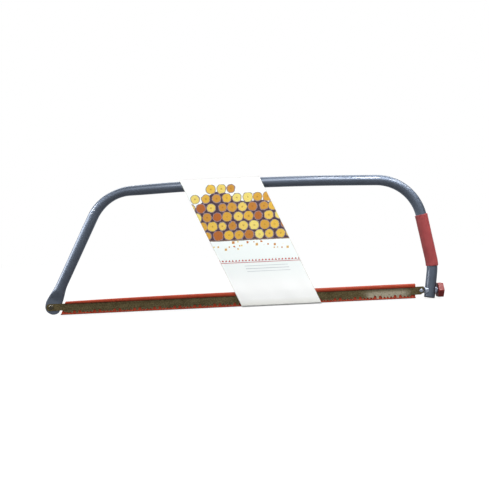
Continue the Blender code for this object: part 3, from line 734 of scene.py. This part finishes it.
def card_sleeve():
    """The card: a strip wound once round the belt's loop, its last stretch glued over its first.

    Point = loop(s) + normal * (lap + bow + dents), x = left edge + width * w, where the left edge moves
    along with the height. Both panels bow out between tube and guard, and the front is dented over it.
    """
    loop, normal, length = belt()
    total = length[-1]
    rear = len(loop) * 2 // 3
    seam = np.interp(SEAM_HEIGHT, loop[rear:, 1], length[rear:])
    s = np.hstack([length[length > seam] - total, length[1:][length[1:] <= seam + SEAM_LAP]])
    s = s[:, None]
    place = np.where(s < 0, s + total, s)
    tables = np.hstack([loop, normal]).T
    base_y, base_z, out_y, out_z = (np.interp(place, length, table) for table in tables)
    lap = SEAM_STEP * passing(s, seam - SEAM_RAMP, seam)
    height = np.clip((base_z - BELT_LOW[1]) / (BELT_TOP[1] - BELT_LOW[1]), 0, 1)
    panel = np.abs(out_z) < PANEL_TILT
    bow = CARD_BOW * np.sin(math.pi * height) ** 2 * panel
    w = np.linspace(0, 1, CARD_COLUMNS)
    w = np.hstack([w, w[::-1]])
    side = np.repeat([CARD, 0], CARD_COLUMNS)
    front = panel * (out_y < 0)
    low_zone = np.exp(-(((base_z - DENT_HEIGHT) / DENT_REACH) ** 2)) * front
    fine, coarse = (np.sin(w * turns + start) for turns, start in RIPPLES)
    ripple = 1 - RIPPLE + RIPPLE * fine * coarse
    grow = lap + bow + DENT * low_zone * ripple + side
    y = base_y + out_y * grow
    z = base_z + out_z * grow
    top = BELT_TOP[1] + BELT_TOP_RADIUS + CARD
    x = CARD_LEFT + CARD_SLANT * (top - z) + CARD_WIDTH * w
    uv_x = (np.pad(x, ((0, 0), (0, 1)), mode="wrap") - CARD_LEFT) / PRINT_UNIT
    uv_y = np.broadcast_to(-s / PRINT_UNIT, uv_x.shape)
    uv = np.stack([uv_x, uv_y], axis=-1)
    marks = {"outside": (side > 0) * 1.0, "across": w}
    return skin("card_wrap", stacked(x, y, z), caps=(0, -1), uv=uv, marks=marks)


def domed(head):
    """Profile of a round head: a quarter ellipse from the crown to the rim, then a short straight rim."""
    radius, height = head
    a = quarter(14)
    dome = np.stack([radius * np.sin(a), HEAD_RIM + (height - HEAD_RIM) * np.cos(a)], axis=1)
    return np.vstack([dome, [[radius, 0]]])


def nose_bolt():
    """Round-headed bolt: a turned dome on the blade, and a plain shank with a chamfered end past the nut."""
    end = BLADE_FRONT - FLAT_HALF_THICKNESS - 3 * GAP - NOSE_WASHER[1] - NUT_THICKNESS - PAST_NUT
    shank = [(PIN_RADIUS, 0), (PIN_RADIUS, end + PIN_CHAMFER), (PIN_RADIUS - PIN_CHAMFER, end), (0, end)]
    profile = np.vstack([domed(NOSE_HEAD), shank])
    return skin("nose_screw", turned(profile, (0, BLADE_FRONT - HEAD_FIT, 0), (0, -1, 0)))


def blade_stud():
    """Stud through the blade's rear eye: a turned dome in front and a riveted tail behind the paddle."""
    tail = BLADE_FRONT - PADDLE_HALF_THICKNESS - GAP
    radius, height = STUD_TAIL
    rivet = [(PIN_RADIUS, 0), (PIN_RADIUS, tail), (radius, tail)]
    rivet += [(radius * TAIL_SHOULDER, tail - height * TAIL_SHOULDER), (0, tail - height)]
    profile = np.vstack([domed(STUD_HEAD), rivet])
    return skin("tang_stud", turned(profile, (PIN_SPACING, BLADE_FRONT - HEAD_FIT, DRAW_HEIGHT), (0, -1, 0)))


def washer(name, hole, radius, thick, start, axis):
    """Plain washer: a rectangle with eased edges, turned about an axis."""
    middle = (hole, thick / 2)
    ring = [middle, (hole, 0), (radius, 0), (radius, thick), (hole, thick), middle]
    return skin(name, turned(eased(ring, WASHER_EDGE)[:-1], start, axis), along=True)


def nose_washer():
    """Washer behind the flat."""
    start = (0, FLAT_HALF_THICKNESS + GAP / 2, 0)
    return washer("nose_ring", PIN_RADIUS + NOSE_WASHER_FIT, *NOSE_WASHER, start, (0, 1, 0))


def thrust_washer():
    """Washer under the knob."""
    start = (OUTER_COLLAR[0] + GAP, 0, DRAW_HEIGHT)
    return washer("knob_washer", ROD_BORE, *KNOB_WASHER, start, (1, 0, 0))


def hexagon(angle, flat, sharpness):
    """Distance from the middle to the rim of a hexagon with eased corners.

    It is a p-norm over the three pairs of flats: flat / (sum of |cos(angle - pair)|^p)^(1/p).
    """
    pairs = np.array([0, math.pi / 3, 2 * math.pi / 3]) + math.pi / 6
    lean = np.abs(np.cos(angle[:, None] - pairs))
    return flat / np.sum(lean**sharpness, axis=1) ** (1 / sharpness)


def nose_nut():
    """Hexagon nut: rows run from the bore over the chamfered face, down the flats and back to the bore.

    The chamfer is where the hexagon meets a circle: rim = min(hexagon, circle of the row).
    """
    flat = NUT_RADIUS * HEX_FLAT
    angle = circle(SHAPED_SIDES)
    rim = hexagon(angle, flat, NUT_SHARPNESS)
    free = 2 * NUT_RADIUS
    limit = np.array([flat - NUT_INSETS[0], NUT_RADIUS - NUT_INSETS[1], free])
    level = np.array(NUT_LEVELS)
    radius = np.minimum(rim, np.hstack([limit, limit[::-1]])[:, None])
    bore = np.full((1, rim.size), PIN_RADIUS + NUT_FIT)
    radius = np.vstack([bore, radius, bore])
    height = np.hstack([[0], level, NUT_THICKNESS - level[::-1], [NUT_THICKNESS]])
    start = FLAT_HALF_THICKNESS + GAP + NOSE_WASHER[1] + GAP
    grid = stacked(np.cos(angle) * radius, start + height[:, None], np.sin(angle) * radius)
    return skin("nose_hex_nut", grid, along=True, crease=25)


def draw_bolt():
    """Draw bolt: an oval carried along X, from the forged paddle into the round rod.

    Half height and half thickness pass smoothly from the paddle to the rod, the front is milled flat beside
    the blade, and the last stretch carries a thread, cut by depth * (0.5 + 0.5 cos(turn * x / pitch - a)).
    """
    tip = PADDLE_FROM + PADDLE_HALF_HEIGHT * (1 - np.cos(quarter(16)))
    paddle = np.linspace(PADDLE_FROM + PADDLE_HALF_HEIGHT + 1, ROD_FROM, 14)
    milled = [MILLED_TO, MILLED_TO + MILLED_STEP]
    shank = np.linspace(SHANK_FROM, THREAD_FROM, 5)
    thread = np.linspace(THREAD_FROM + THREAD_STEP, ROD_END, 150)
    x = np.hstack([tip, paddle, milled, shank, thread])[:, None]
    share = passing(x, PADDLE_TO, ROD_FROM)
    half = PADDLE_HALF_HEIGHT + (ROD_RADIUS - PADDLE_HALF_HEIGHT) * share
    end = np.clip((PADDLE_FROM + PADDLE_HALF_HEIGHT - x) / PADDLE_HALF_HEIGHT, 0, 1)
    half = half * np.sqrt(1 - end**2)
    thick = PADDLE_HALF_THICKNESS + (ROD_RADIUS - PADDLE_HALF_THICKNESS) * share
    edge = np.clip(1 - (x - PADDLE_FROM) / PADDLE_HALF_THICKNESS, 0, 1)
    thick = thick * np.sqrt(1 - edge**2)
    power = PADDLE_POWER + (1 - PADDLE_POWER) * share
    angle = circle(ROD_SIDES)
    cut = THREAD_DEPTH * (0.5 + 0.5 * np.cos(TURN * x / THREAD_PITCH - angle)) * (x > THREAD_FROM)
    z = (half - cut) * powered(np.cos(angle), power)
    y = (thick - cut) * powered(np.sin(angle), power)
    y = np.where(x <= MILLED_TO, np.maximum(y, -PADDLE_HALF_THICKNESS), y)
    return skin("draw_rod", stacked(x, y, DRAW_HEIGHT + z), caps=(-1,))


def saddle_collar(name, face, half_depth, half_height, inward):
    """Collar between the round tube and the tensioner: rings (cos^e, sin^e) about the draw axis.

    The power e passes from a circle at the bore to the rounded block outside. The flat face is square to the
    axis and has a round edge. The other end follows the tube, where x = axis of the tube - inward *
    sqrt(tube radius² - y²) / cos(lean), taken at the ring's own y and z.
    """
    edge_rows = 7
    saddle_rows = 10
    bend = quarter(edge_rows)
    inset = np.hstack([COLLAR_EDGE * (1 - np.sin(bend)), np.zeros(saddle_rows)])[:, None]
    sunk = np.hstack([[0.0], COLLAR_EDGE * (1 - np.cos(bend))])[:, None]
    share = np.hstack([np.ones(edge_rows), np.linspace(1, 0, saddle_rows)])[:, None]

    def grown(half):
        return np.vstack([[[ROD_BORE]], ROD_BORE + share * (half - inset - ROD_BORE)])

    power = np.vstack([[[1.0]], 1 - (1 - COLLAR_POWER) * share])
    angle = circle(SHAPED_SIDES)
    y = grown(half_depth) * powered(np.cos(angle), power)
    z = DRAW_HEIGHT + grown(half_height) * powered(np.sin(angle), power)
    tube = HEEL_X + (z + HEEL_DROP) * math.tan(HEEL_LEAN)
    tube = tube - inward * (np.sqrt((TUBE_RADIUS + COLLAR_FIT) ** 2 - y**2) / math.cos(HEEL_LEAN))
    flat = face + inward * sunk
    faced = len(flat)
    room = np.maximum(inward * (tube[:faced] - flat), COLLAR_LEAST)
    x = np.vstack([tube[:faced] - inward * room, tube[faced:]])
    return skin(name, stacked(x, y, z), along=True)


def in_knob(level, radius):
    """Points of rings about the draw axis: one level past the knob's inner face for each row of radii."""
    angle = circle(radius.shape[1])
    return stacked(KNOB_FROM + level[:, None], radius * np.cos(angle), DRAW_HEIGHT + radius * np.sin(angle))


def tension_knob():
    """Hexagonal knob: rings eased at both faces, with a dished outer face and a pocket in the inner one.

    Each row is the hexagon drawn in by its inset, a circle in the pocket, or in the dish a blend of the two.
    A corner points to the front.
    """
    flat = KNOB_RADIUS * HEX_FLAT
    angle = circle(KNOB_SIDES)
    rim = hexagon(angle, 1.0, KNOB_SHARPNESS)
    bend = quarter(8)
    inset = KNOB_EDGE * (1 - np.sin(bend))
    height = KNOB_EDGE * (1 - np.cos(bend))
    pocket = INSERT_RADIUS + INSERT_FIT
    deep = INSERT_THICKNESS + GAP
    bore = np.array([0, pocket, pocket])[:, None] * np.ones(angle.size)
    inner = (flat - inset)[:, None] * rim
    dish = np.array(KNOB_DISH_ROWS)
    sink = KNOB_DISH * passing(dish, DISH_FROM, DISH_TO)
    blend = passing(dish, DISH_TO, DISH_FROM)[:, None]
    hollow = (flat * dish)[:, None] * (blend * rim + 1 - blend)
    radius = np.vstack([bore, inner, inner[::-1], hollow])
    outer_levels = KNOB_THICKNESS - np.hstack([height[::-1], sink])
    level = np.hstack([[deep, deep, INSERT_FIT], height, outer_levels])
    return skin("hex_knob", in_knob(level, radius), crease=40)


def knob_insert():
    """Steel nut moulded into the knob: a hexagon ring round the thread, just inside the inner face."""
    angle = circle(SHAPED_SIDES)
    rim = hexagon(angle, INSERT_RADIUS * HEX_FLAT, INSERT_SHARPNESS)
    bore = np.full(angle.size, ROD_BORE)
    chamfered = np.minimum(rim, INSERT_RADIUS - INSERT_CHAMFER)
    radius = np.array([bore + INSERT_CHAMFER, chamfered, rim, rim, bore, bore])
    start, hex_from, bore_from = INSERT_LEVELS
    level = np.array([start, start, hex_from, INSERT_THICKNESS, INSERT_THICKNESS, bore_from])
    return skin("insert_nut", in_knob(level, radius), along=True, crease=25)


class Net:
    """A shader's node tree, and the steps that finishes are made of. Most steps give a socket."""

    def __init__(self, owner):
        owner.use_nodes = True
        self.tree = owner.node_tree

    def node(self, kind, inputs=None, **settings):
        """One shader node, with its settings and inputs."""
        made = self.tree.nodes.new("ShaderNode" + kind)
        for name, value in settings.items():
            setattr(made, name, value)
        self.feed(made, inputs or {})
        return made

    def feed(self, made, inputs):
        """Inputs of a node: one given a socket is linked to it, and any other value is set."""
        for name, value in inputs.items():
            if isinstance(value, bpy.types.NodeSocket):
                self.tree.links.new(value, made.inputs[name])
            else:
                made.inputs[name].default_value = value

    def place(self, stretch=(1, 1, 1)):
        """Object coordinates, in metres times a stretch along each axis."""
        coords = self.node("TexCoord").outputs["Object"]
        return self.node("Mapping", {"Vector": coords, "Scale": stretch}).outputs["Vector"]

    def noise(self, scale, detail, vector=None):
        """Grey noise from 0 to 1, at so many grains to the metre or to the unit of the vector."""
        vector = self.place() if vector is None else vector
        inputs = {"Vector": vector, "Scale": scale, "Detail": detail, "Roughness": NOISE_ROUGHNESS}
        return self.node("TexNoise", inputs).outputs["Fac"]

    def calc(self, operation, first, second=0.0, third=0.0):
        """One step of arithmetic on values or sockets."""
        return self.node("Math", {0: first, 1: second, 2: third}, operation=operation).outputs[0]

    def times(self, first, second):
        """A product of two values or sockets."""
        return self.calc("MULTIPLY", first, second)

    def blend(self, first, second, share):
        """A share of one value and the rest of another."""
        return self.calc("MULTIPLY_ADD", first, share, self.times(second, 1 - share))

    def away(self, value, middle):
        """How far a value lies from a middle."""
        return self.calc("ABSOLUTE", self.calc("SUBTRACT", value, middle))

    def mix(self, share, first, second):
        """A mix of two colours by a share."""
        return self.node("Mix", {0: share, 6: first, 7: second}, data_type="RGBA").outputs[2]

    def ranged(self, value, low, high, to_low=0.0, to_high=1.0):
        """A value carried from one range to another, held at both ends."""
        inputs = {"Value": value, "From Min": low, "From Max": high, "To Min": to_low, "To Max": to_high}
        return self.node("MapRange", inputs).outputs[0]

    def spread(self, grain, to_low=0.0, to_high=1.0):
        """A noise carried to a range that it fills."""
        return self.ranged(grain, *NOISE_SPAN, to_low, to_high)

    def point(self, x, y):
        """A vector in a plane."""
        return self.node("CombineXYZ", {"X": x, "Y": y}).outputs[0]

    def parts(self, vector):
        """The sockets X, Y and Z of a vector."""
        return self.node("SeparateXYZ", {"Vector": vector}).outputs

    def chances(self, colour):
        """The three channels of a colour that is drawn by chance."""
        return self.node("SeparateColor", {"Color": colour}).outputs

    def length(self, vector):
        """How long a vector is."""
        return self.node("VectorMath", {0: vector}, operation="LENGTH").outputs["Value"]

    def mark(self, name):
        """A value that the mesh carries at its points."""
        return self.node("Attribute", attribute_name=name).outputs["Fac"]


class Finish(Net):
    """A Principled material with its constant values set on the shader's own sockets."""

    def __init__(self, name, **sockets):
        self.material = bpy.data.materials.new(name)
        super().__init__(self.material)
        self.shader = self.tree.nodes["Principled BSDF"]
        self.feed(self.shader, {socket.replace("_", " "): value for socket, value in sockets.items()})

    def done(self, base, roughness, height, depth):
        """The material with its colour, its roughness and a relief, whose depth is in millimetres."""
        bump = self.node("Bump", {"Height": height, "Distance": depth * MM, "Strength": 1.0})
        normal = bump.outputs["Normal"]
        self.feed(self.shader, {"Base Color": base, "Roughness": roughness, "Normal": normal})
        return self.material


def gun_metal_paint():
    """Blue-grey metallic enamel: fine flake, soft orange peel and faint clouds of gloss."""
    sheen = {"Metallic": 0.95, "Specular_Tint": (0.4, 0.48, 0.6, 1)}
    coat = {"Coat_Weight": 0.6, "Coat_Roughness": 0.12}
    net = Finish("gun_metal_enamel", **sheen, **coat)
    flake = net.noise(2600, 2)
    cloud = net.noise(22, 3)
    tone = net.spread(net.blend(flake, cloud, 0.5))
    base = net.mix(tone, (0.095, 0.115, 0.152, 1), (0.125, 0.151, 0.198, 1))
    return net.done(base, net.spread(cloud, 0.5, 0.58), net.noise(420, 2), 0.012)


def red_vinyl():
    """Dipped vinyl: dull red, slightly mottled, with a fine pebble."""
    net = Finish("red_vinyl_skin", Specular_IOR_Level=0.35)
    mottle = net.noise(60, 4)
    base = net.mix(net.spread(mottle), (0.235, 0.036, 0.04, 1), (0.30, 0.054, 0.053, 1))
    return net.done(base, net.spread(mottle, 0.45, 0.6), net.noise(1500, 2), 0.12)


def dark_plastic():
    """Moulded dark plastic with a fine matt grain."""
    net = Finish("dark_moulding", Specular_IOR_Level=0.4)
    grain = net.noise(900, 3)
    base = net.mix(grain, (0.03, 0.032, 0.036, 1), (0.05, 0.053, 0.058, 1))
    return net.done(base, net.spread(grain, 0.5, 0.65), grain, 0.06)


def blade_lacquer():
    """Rolled steel under brown lacquer: streaks along the blade, blots and grit.

    A pale patch, strongest low by the teeth, is a painted highlight for the blade's glare, and the lacquer
    is paler on the filed edges.
    """
    net = Finish("brown_lacquer", Metallic=0.75, Specular_IOR_Level=0.12)
    streak = net.noise(1, 5, net.place((14, 500, 420)))
    blot = net.noise(45, 4)
    grit = net.noise(330, 2)
    tone = net.ranged(net.blend(blot, streak, 0.6), 0.35, 0.65)
    brown = net.mix(tone, (0.09, 0.067, 0.03, 1), (0.175, 0.14, 0.07, 1))
    brown = net.mix(net.ranged(grit, 0.5, 0.64, 0, 0.6), brown, (0.24, 0.2, 0.1, 1))
    # Painted highlight: a pale patch, strongest low by the teeth, stands in for glare on the blade
    spot = net.parts(net.place())
    away = net.away(spot["X"], GLARE_PATCH_AT)
    away = net.calc("MULTIPLY_ADD", net.calc("SUBTRACT", blot, 0.5), GLARE_PATCH_WANDER, away)
    glare_by_teeth = net.ranged(spot["Z"], *GLARE_PATCH_HEIGHTS, 1, 0.3)
    painted_glare = net.times(net.ranged(away, *GLARE_PATCH_FADES, 0.85, 0), glare_by_teeth)
    brown = net.mix(painted_glare, brown, (0.62, 0.56, 0.42, 1))
    brown = net.mix(net.ranged(grit, 0.36, 0.48, 0.5, 0), brown, (0.06, 0.045, 0.025, 1))
    base = net.mix(net.ranged(net.mark("filed"), 0.2, 0.9, 0, 0.5), brown, (0.5, 0.44, 0.32, 1))
    return net.done(base, net.spread(streak, 0.3, 0.45), streak, 0.03)


def red_plastic():
    """Extruded red plastic: drawn lines along its length and a satin skin."""
    net = Finish("red_extrusion", Specular_IOR_Level=0.12)
    drawn = net.noise(1, 4, net.place((6, 700, 700)))
    cloud = net.noise(35, 3)
    tone = net.spread(net.blend(drawn, cloud, 0.5))
    base = net.mix(tone, (0.28, 0.035, 0.016, 1), (0.36, 0.055, 0.025, 1))
    return net.done(base, net.spread(drawn, 0.32, 0.45), drawn, 0.04)


def zinc_plate(name, dull, bright, metallic, oil=0.0):
    """Zinc plate: clouds between a dull and a bright tone, a fine grain, and a film of oil over it."""
    net = Finish(name, Metallic=metallic, Coat_Weight=oil, Coat_Roughness=0.14)
    cloud = net.noise(260, 3)
    grain = net.noise(2400, 2)
    base = net.mix(net.ranged(cloud, 0.35, 0.65), dull, bright)
    return net.done(base, net.spread(grain, 0.22, 0.38), grain, 0.02)


def knob_plastic():
    """Moulded red knob: slightly glossy, with faint flow clouds."""
    net = Finish("red_knob_moulding", Specular_IOR_Level=0.22)
    flow = net.noise(110, 4)
    base = net.mix(net.spread(flow), (0.175, 0.02, 0.019, 1), (0.225, 0.032, 0.029, 1))
    return net.done(base, net.spread(flow, 0.28, 0.4), net.noise(700, 2), 0.05)


def log_stack(net, u, fall, under):
    """A printed stack of sawn logs, seen on their ends, standing on a ground line.

    Logs lie in rows, every other row shifted by half a log. In a log's cell the distance from a middle that
    is moved by chance gives rings, bark and the dark gap. The top of the stack follows two sines across.
    """
    rows_down = net.calc("DIVIDE", fall, LOG_ROW)
    row = net.calc("FLOOR", rows_down)
    shift = net.times(net.calc("MODULO", row, 2.0), 0.5)
    along = net.calc("ADD", net.calc("DIVIDE", u, LOG_WIDE), shift)
    column = net.calc("FLOOR", along)
    cell = net.node("TexWhiteNoise", {"Vector": net.point(column, row)})
    first, second, third = net.chances(cell.outputs["Color"])
    spot = net.point(u, fall)
    wander = net.calc("SUBTRACT", net.noise(13, 2, spot), 0.5)
    side = net.calc("SUBTRACT", net.calc("FRACT", along), net.ranged(second, 0, 1, *LOG_MIDDLES))
    rise = net.calc("SUBTRACT", net.calc("FRACT", rows_down), 0.5)
    reach = net.length(net.point(side, net.times(rise, LOG_ROW / LOG_WIDE)))
    far = net.calc("MULTIPLY_ADD", wander, LOG_WANDER, reach)
    pale = net.mix(net.ranged(first, 0.1, 0.5), (0.84, 0.72, 0.2, 1), (0.78, 0.5, 0.07, 1))
    wood = net.mix(net.ranged(first, 0.5, 0.95), pale, (0.42, 0.12, 0.035, 1))
    rings = net.calc("SINE", net.times(far, LOG_RINGS))
    wood = net.mix(net.ranged(rings, -0.2, 1.0, 0, 0.45), wood, (0.36, 0.17, 0.05, 1))
    wood = net.mix(net.ranged(far, *LOG_HEART, 0.6, 0), wood, (0.3, 0.12, 0.04, 1))
    husk = net.mix(net.spread(net.noise(50, 3, spot)), (0.1, 0.065, 0.085, 1), (0.4, 0.32, 0.36, 1))
    inside = net.calc("SUBTRACT", net.ranged(third, 0, 1, *LOG_SIZES), far)
    log = net.mix(net.ranged(inside, *BARK), husk, wood)

    def top(across):
        size, turns, start = STACK_SWELL
        fine_size, fine_turns = STACK_RIPPLE
        swell = net.calc("SINE", net.calc("MULTIPLY_ADD", across, turns, start))
        ripple = net.calc("SINE", net.times(across, fine_turns))
        return net.calc("MULTIPLY_ADD", swell, size, net.calc("MULTIPLY_ADD", ripple, fine_size, STACK_TOP))

    middle = net.times(net.calc("SUBTRACT", net.calc("ADD", column, 0.5), shift), LOG_WIDE)
    level = net.times(net.calc("ADD", row, 0.5), LOG_ROW)
    standing = net.calc("GREATER_THAN", level, top(middle))
    filled = net.calc("GREATER_THAN", fall, net.calc("ADD", top(u), STACK_FILL))
    ground = net.calc("LESS_THAN", row, LOG_ROWS - 0.5)
    art = net.mix(net.times(filled, ground), under, (0.075, 0.05, 0.07, 1))
    shown = net.times(net.times(standing, ground), net.ranged(inside, 0, LOG_EDGE))
    art = net.mix(shown, art, log)
    drawn = net.calc("MULTIPLY_ADD", wander, GROUND_WANDER, fall)
    line = net.calc("COMPARE", drawn, GROUND_AT, GROUND_HALF)
    return net.mix(line, art, (0.2, 0.13, 0.1, 1))


def wood_chips(net, uv, under):
    """A loose scatter of small square chips under the stack: cells of a finer pattern, kept by chance."""
    settings = {"Vector": uv, "Scale": CHIP_CELLS, "Randomness": 1.0}
    cell = net.node("TexVoronoi", settings, voronoi_dimensions="2D", distance="CHEBYCHEV").outputs
    first, second, third = net.chances(cell["Color"])
    depth = net.times(net.parts(cell["Position"])["Y"], -1.0)
    zone = net.calc("COMPARE", depth, CHIPS_AT, CHIPS_REACH)
    kept = net.calc("LESS_THAN", second, CHIP_SHARE)
    size = net.calc("LESS_THAN", cell["Distance"], net.times(third, CHIP_SIZE))
    tone = net.mix(first, (0.84, 0.7, 0.2, 1), (0.5, 0.16, 0.04, 1))
    return net.mix(net.times(net.times(zone, kept), size), under, tone)


def tooth_border(net, u, fall, across, under):
    """A red row of saw teeth over a thin rule, and three faint grey lines under it."""
    wave = net.calc("PINGPONG", u, TOOTH_STEP)
    above = net.calc("GREATER_THAN", fall, net.calc("MULTIPLY_ADD", wave, TOOTH_STEEP, BORDER_AT))
    tooth = net.times(above, net.calc("LESS_THAN", fall, BORDER_AT + TOOTH_FOOT))
    rule = net.calc("COMPARE", fall, BORDER_AT + RULE_AT, RULE_HALF)
    art = net.mix(net.calc("MAXIMUM", tooth, rule), under, (0.42, 0.035, 0.035, 1))
    lines_from = BORDER_AT + LINES_AT - 2 * LINE_STEP
    comb = net.calc("PINGPONG", net.calc("SUBTRACT", fall, lines_from), LINE_STEP)
    band = net.calc("COMPARE", fall, BORDER_AT + LINES_AT, LINES_REACH)
    column = net.calc("COMPARE", across, *LINES_ACROSS)
    lines = net.times(net.calc("LESS_THAN", comb, LINE_HALF), net.times(band, column))
    return net.mix(net.times(lines, 0.6), art, (0.4, 0.44, 0.48, 1))


def printed_card():
    """Coated white card, printed on the front and worn along its rims; painted shade darkens its crest, and
    darkens its lower fold to a yellow-grey.

    The print follows the card's own map in units of 100 mm: x from the top of the left edge, and y, which
    is negative on the front, along the card from its crest.
    """
    net = Finish("printed_card", Specular_IOR_Level=0.05)
    uv = net.node("UVMap", uv_map="print").outputs["UV"]
    parts = net.parts(uv)
    fall = net.times(parts["Y"], -1.0)
    across = net.mark("across")
    paper = net.mix(net.noise(40, 4, uv), (0.85, 0.905, 0.90, 1), (0.89, 0.94, 0.93, 1))
    # Painted highlight: the paper turns paler towards the lower end of the front, standing in for light on
    # the lower card
    paper = net.mix(net.ranged(fall, *LOW_CARD_PAINTED_LIGHT), paper, (0.95, 0.965, 0.96, 1))
    art = wood_chips(net, uv, log_stack(net, parts["X"], fall, paper))
    art = tooth_border(net, parts["X"], fall, across, art)
    outer = net.calc("GREATER_THAN", net.mark("outside"), 0.98)
    printed = net.times(net.calc("COMPARE", fall, PRINT_MIDDLE, PRINT_REACH), outer)
    plain = net.mix(outer, (0.74, 0.73, 0.68, 1), paper)
    base = net.mix(printed, plain, art)
    rim = net.ranged(net.away(across, 0.5), *WORN_RIM, 0, 0.6)
    base = net.mix(rim, base, (0.5, 0.46, 0.38, 1))
    # Painted shade: the paper is darkened along its crest to hold back the strong light from above there
    crest = net.ranged(net.calc("ABSOLUTE", fall), *CREST_PAINTED_SHADE, 1, 0)
    base = net.mix(crest, base, (0.24, 0.232, 0.2, 1))
    # Painted shade: a darker yellow-grey band along the lower fold, where the card turns under the guard
    fold = net.ranged(net.away(fall, FOLD_SHADE_AT), 0, FOLD_SHADE_REACH, 0.4, 0)
    base = net.mix(fold, base, (0.62, 0.62, 0.52, 1))
    return net.done(base, net.spread(net.noise(25, 3, uv), 0.38, 0.5), net.noise(90, 4, uv), 0.05)


def white_where_seen(net, mirrored):
    """1 for camera rays, which see plain white ground, and the mirrored share for glossy and clear ones."""
    path = net.node("LightPath").outputs
    bounced = net.calc("MAXIMUM", path["Is Glossy Ray"], path["Is Transmission Ray"])
    return net.calc("MAXIMUM", path["Is Camera Ray"], net.times(bounced, mirrored))


def build_stage():
    """A wide pale floor and a white world.

    The floor is matt. Where it is seen it also glows, fully far off and less near the saw, which keeps its
    soft shadow there. In reflections the white ground lies behind the saw, and the room in front is dimmer.
    """
    mesh = bpy.data.meshes.new("floor")
    signs = ((-1, -1), (1, -1), (1, 1), (-1, 1))
    corners = [(x * FLOOR_REACH, y * FLOOR_REACH, -FLOOR_SINK) for x, y in signs]
    mesh.from_pydata(corners, [], [(0, 1, 2, 3)])
    floor = placed("floor", mesh)
    material = bpy.data.materials.new("pale_floor")
    net = Net(material)
    net.tree.nodes.remove(net.tree.nodes["Principled BSDF"])
    matt = net.node("BsdfDiffuse", {"Color": FLOOR_GREY})
    behind = net.ranged(net.parts(net.place())["Y"], *GROUND_BRIGHTENS, DIM_ROOM, 1)
    nearby = net.ranged(net.length(net.place()), *SHADOW_FADES, SHADOW_GLOW, 1)
    glow = net.times(white_where_seen(net, behind), nearby)
    seen = net.node("Emission", {"Color": WHITE, "Strength": glow})
    both = net.node("AddShader", {0: matt.outputs[0], 1: seen.outputs[0]})
    net.feed(net.tree.nodes["Material Output"], {"Surface": both.outputs[0]})
    mesh.materials.append(material)
    world = bpy.data.worlds.new("studio")
    bpy.context.scene.world = world
    net = Net(world)
    heading = net.parts(net.node("TexCoord").outputs["Generated"])
    behind = net.ranged(heading["Y"], *SKY_BRIGHTENS, DIM_ROOM, 1)
    strength = net.calc("MAXIMUM", white_where_seen(net, behind), SKY_LIGHT)
    net.feed(net.tree.nodes["Background"], {"Color": WHITE, "Strength": strength})


def build_lights():
    """Rectangular soft lamps, each at its spot and facing its aim.

    Three long strips hang over the saw, with a wide front fill, a box at the left and lamps for glints.
    """
    for name, (spot, aim, size, power) in LAMPS.items():
        light = bpy.data.lights.new(name, "AREA")
        light.shape = "RECTANGLE"
        light.size, light.size_y = size
        light.energy = power
        ahead = np.array(aim, float) - np.array(spot, float)
        ahead /= np.linalg.norm(ahead)
        side = np.cross(ahead, (0, 1, 0) if abs(ahead[2]) > NEARLY_ALONG else (0, 0, 1))
        side /= np.linalg.norm(side)
        columns = np.eye(4)
        columns[:3] = np.stack([side, np.cross(side, ahead), -ahead, spot], axis=1)
        placed(name, light).matrix_world = Matrix(columns.tolist())


def build_camera():
    """A camera square to the blade's plane, rolled as the picture is, at the picture's scale."""
    camera = bpy.data.cameras.new("picture")
    camera.sensor_width = SENSOR
    camera.lens = SENSOR * CAMERA_DISTANCE / (IMAGE_SIZE * MM_PER_PIXEL)
    lens = placed("picture", camera)
    spot = np.array([CAMERA_AIM[0], -CAMERA_DISTANCE, CAMERA_AIM[1]]) * MM + ORIGIN
    cosine, sine = math.cos(CAMERA_ROLL), math.sin(CAMERA_ROLL)
    rows = [(cosine, sine, 0, spot[0]), (0, 0, -1, spot[1]), (-sine, cosine, 0, spot[2]), (0, 0, 0, 1)]
    lens.matrix_world = Matrix(rows)
    bpy.context.scene.camera = lens


def build_saw():
    """Make every piece, with its finish, on its body."""
    paint = gun_metal_paint()
    zinc = zinc_plate("bright_zinc", (0.22, 0.26, 0.34, 1), (0.33, 0.37, 0.45, 1), 0.45)
    aged = zinc_plate("aged_zinc", (0.06, 0.05, 0.03, 1), (0.1, 0.085, 0.055, 1), 1, 1)
    dress(frame_tube(), "frame", paint, "frame_tube")
    dress(hand_grip(), "frame", red_vinyl(), "hand_grip")
    dress(end_plug(), "frame", dark_plastic(), "end_plug")
    dress(nose_bolt(), "frame", aged, "nose_bolt")
    dress(nose_washer(), "frame", zinc, "nose_washer")
    dress(nose_nut(), "frame", zinc, "nose_nut")
    dress(saddle_collar("inner_saddle", *INNER_COLLAR, 1), "frame", zinc, "inner_collar")
    dress(saddle_collar("outer_saddle", *OUTER_COLLAR, -1), "frame", zinc, "outer_collar")
    dress(thrust_washer(), "frame", zinc, "thrust_washer")
    dress(saw_blade(), "draw", blade_lacquer(), "saw_blade")
    dress(draw_bolt(), "draw", zinc, "draw_bolt")
    dress(blade_stud(), "draw", zinc, "blade_stud")
    dress(blade_guard(), "guard", red_plastic(), "blade_guard")
    dress(tension_knob(), "knob", knob_plastic(), "tension_knob")
    dress(knob_insert(), "knob", zinc, "knob_insert")
    dress(card_sleeve(), "sleeve", printed_card(), "card_sleeve")


build_saw()
build_stage()
build_lights()
build_camera()
bpy.context.scene.view_settings.view_transform = "Standard"
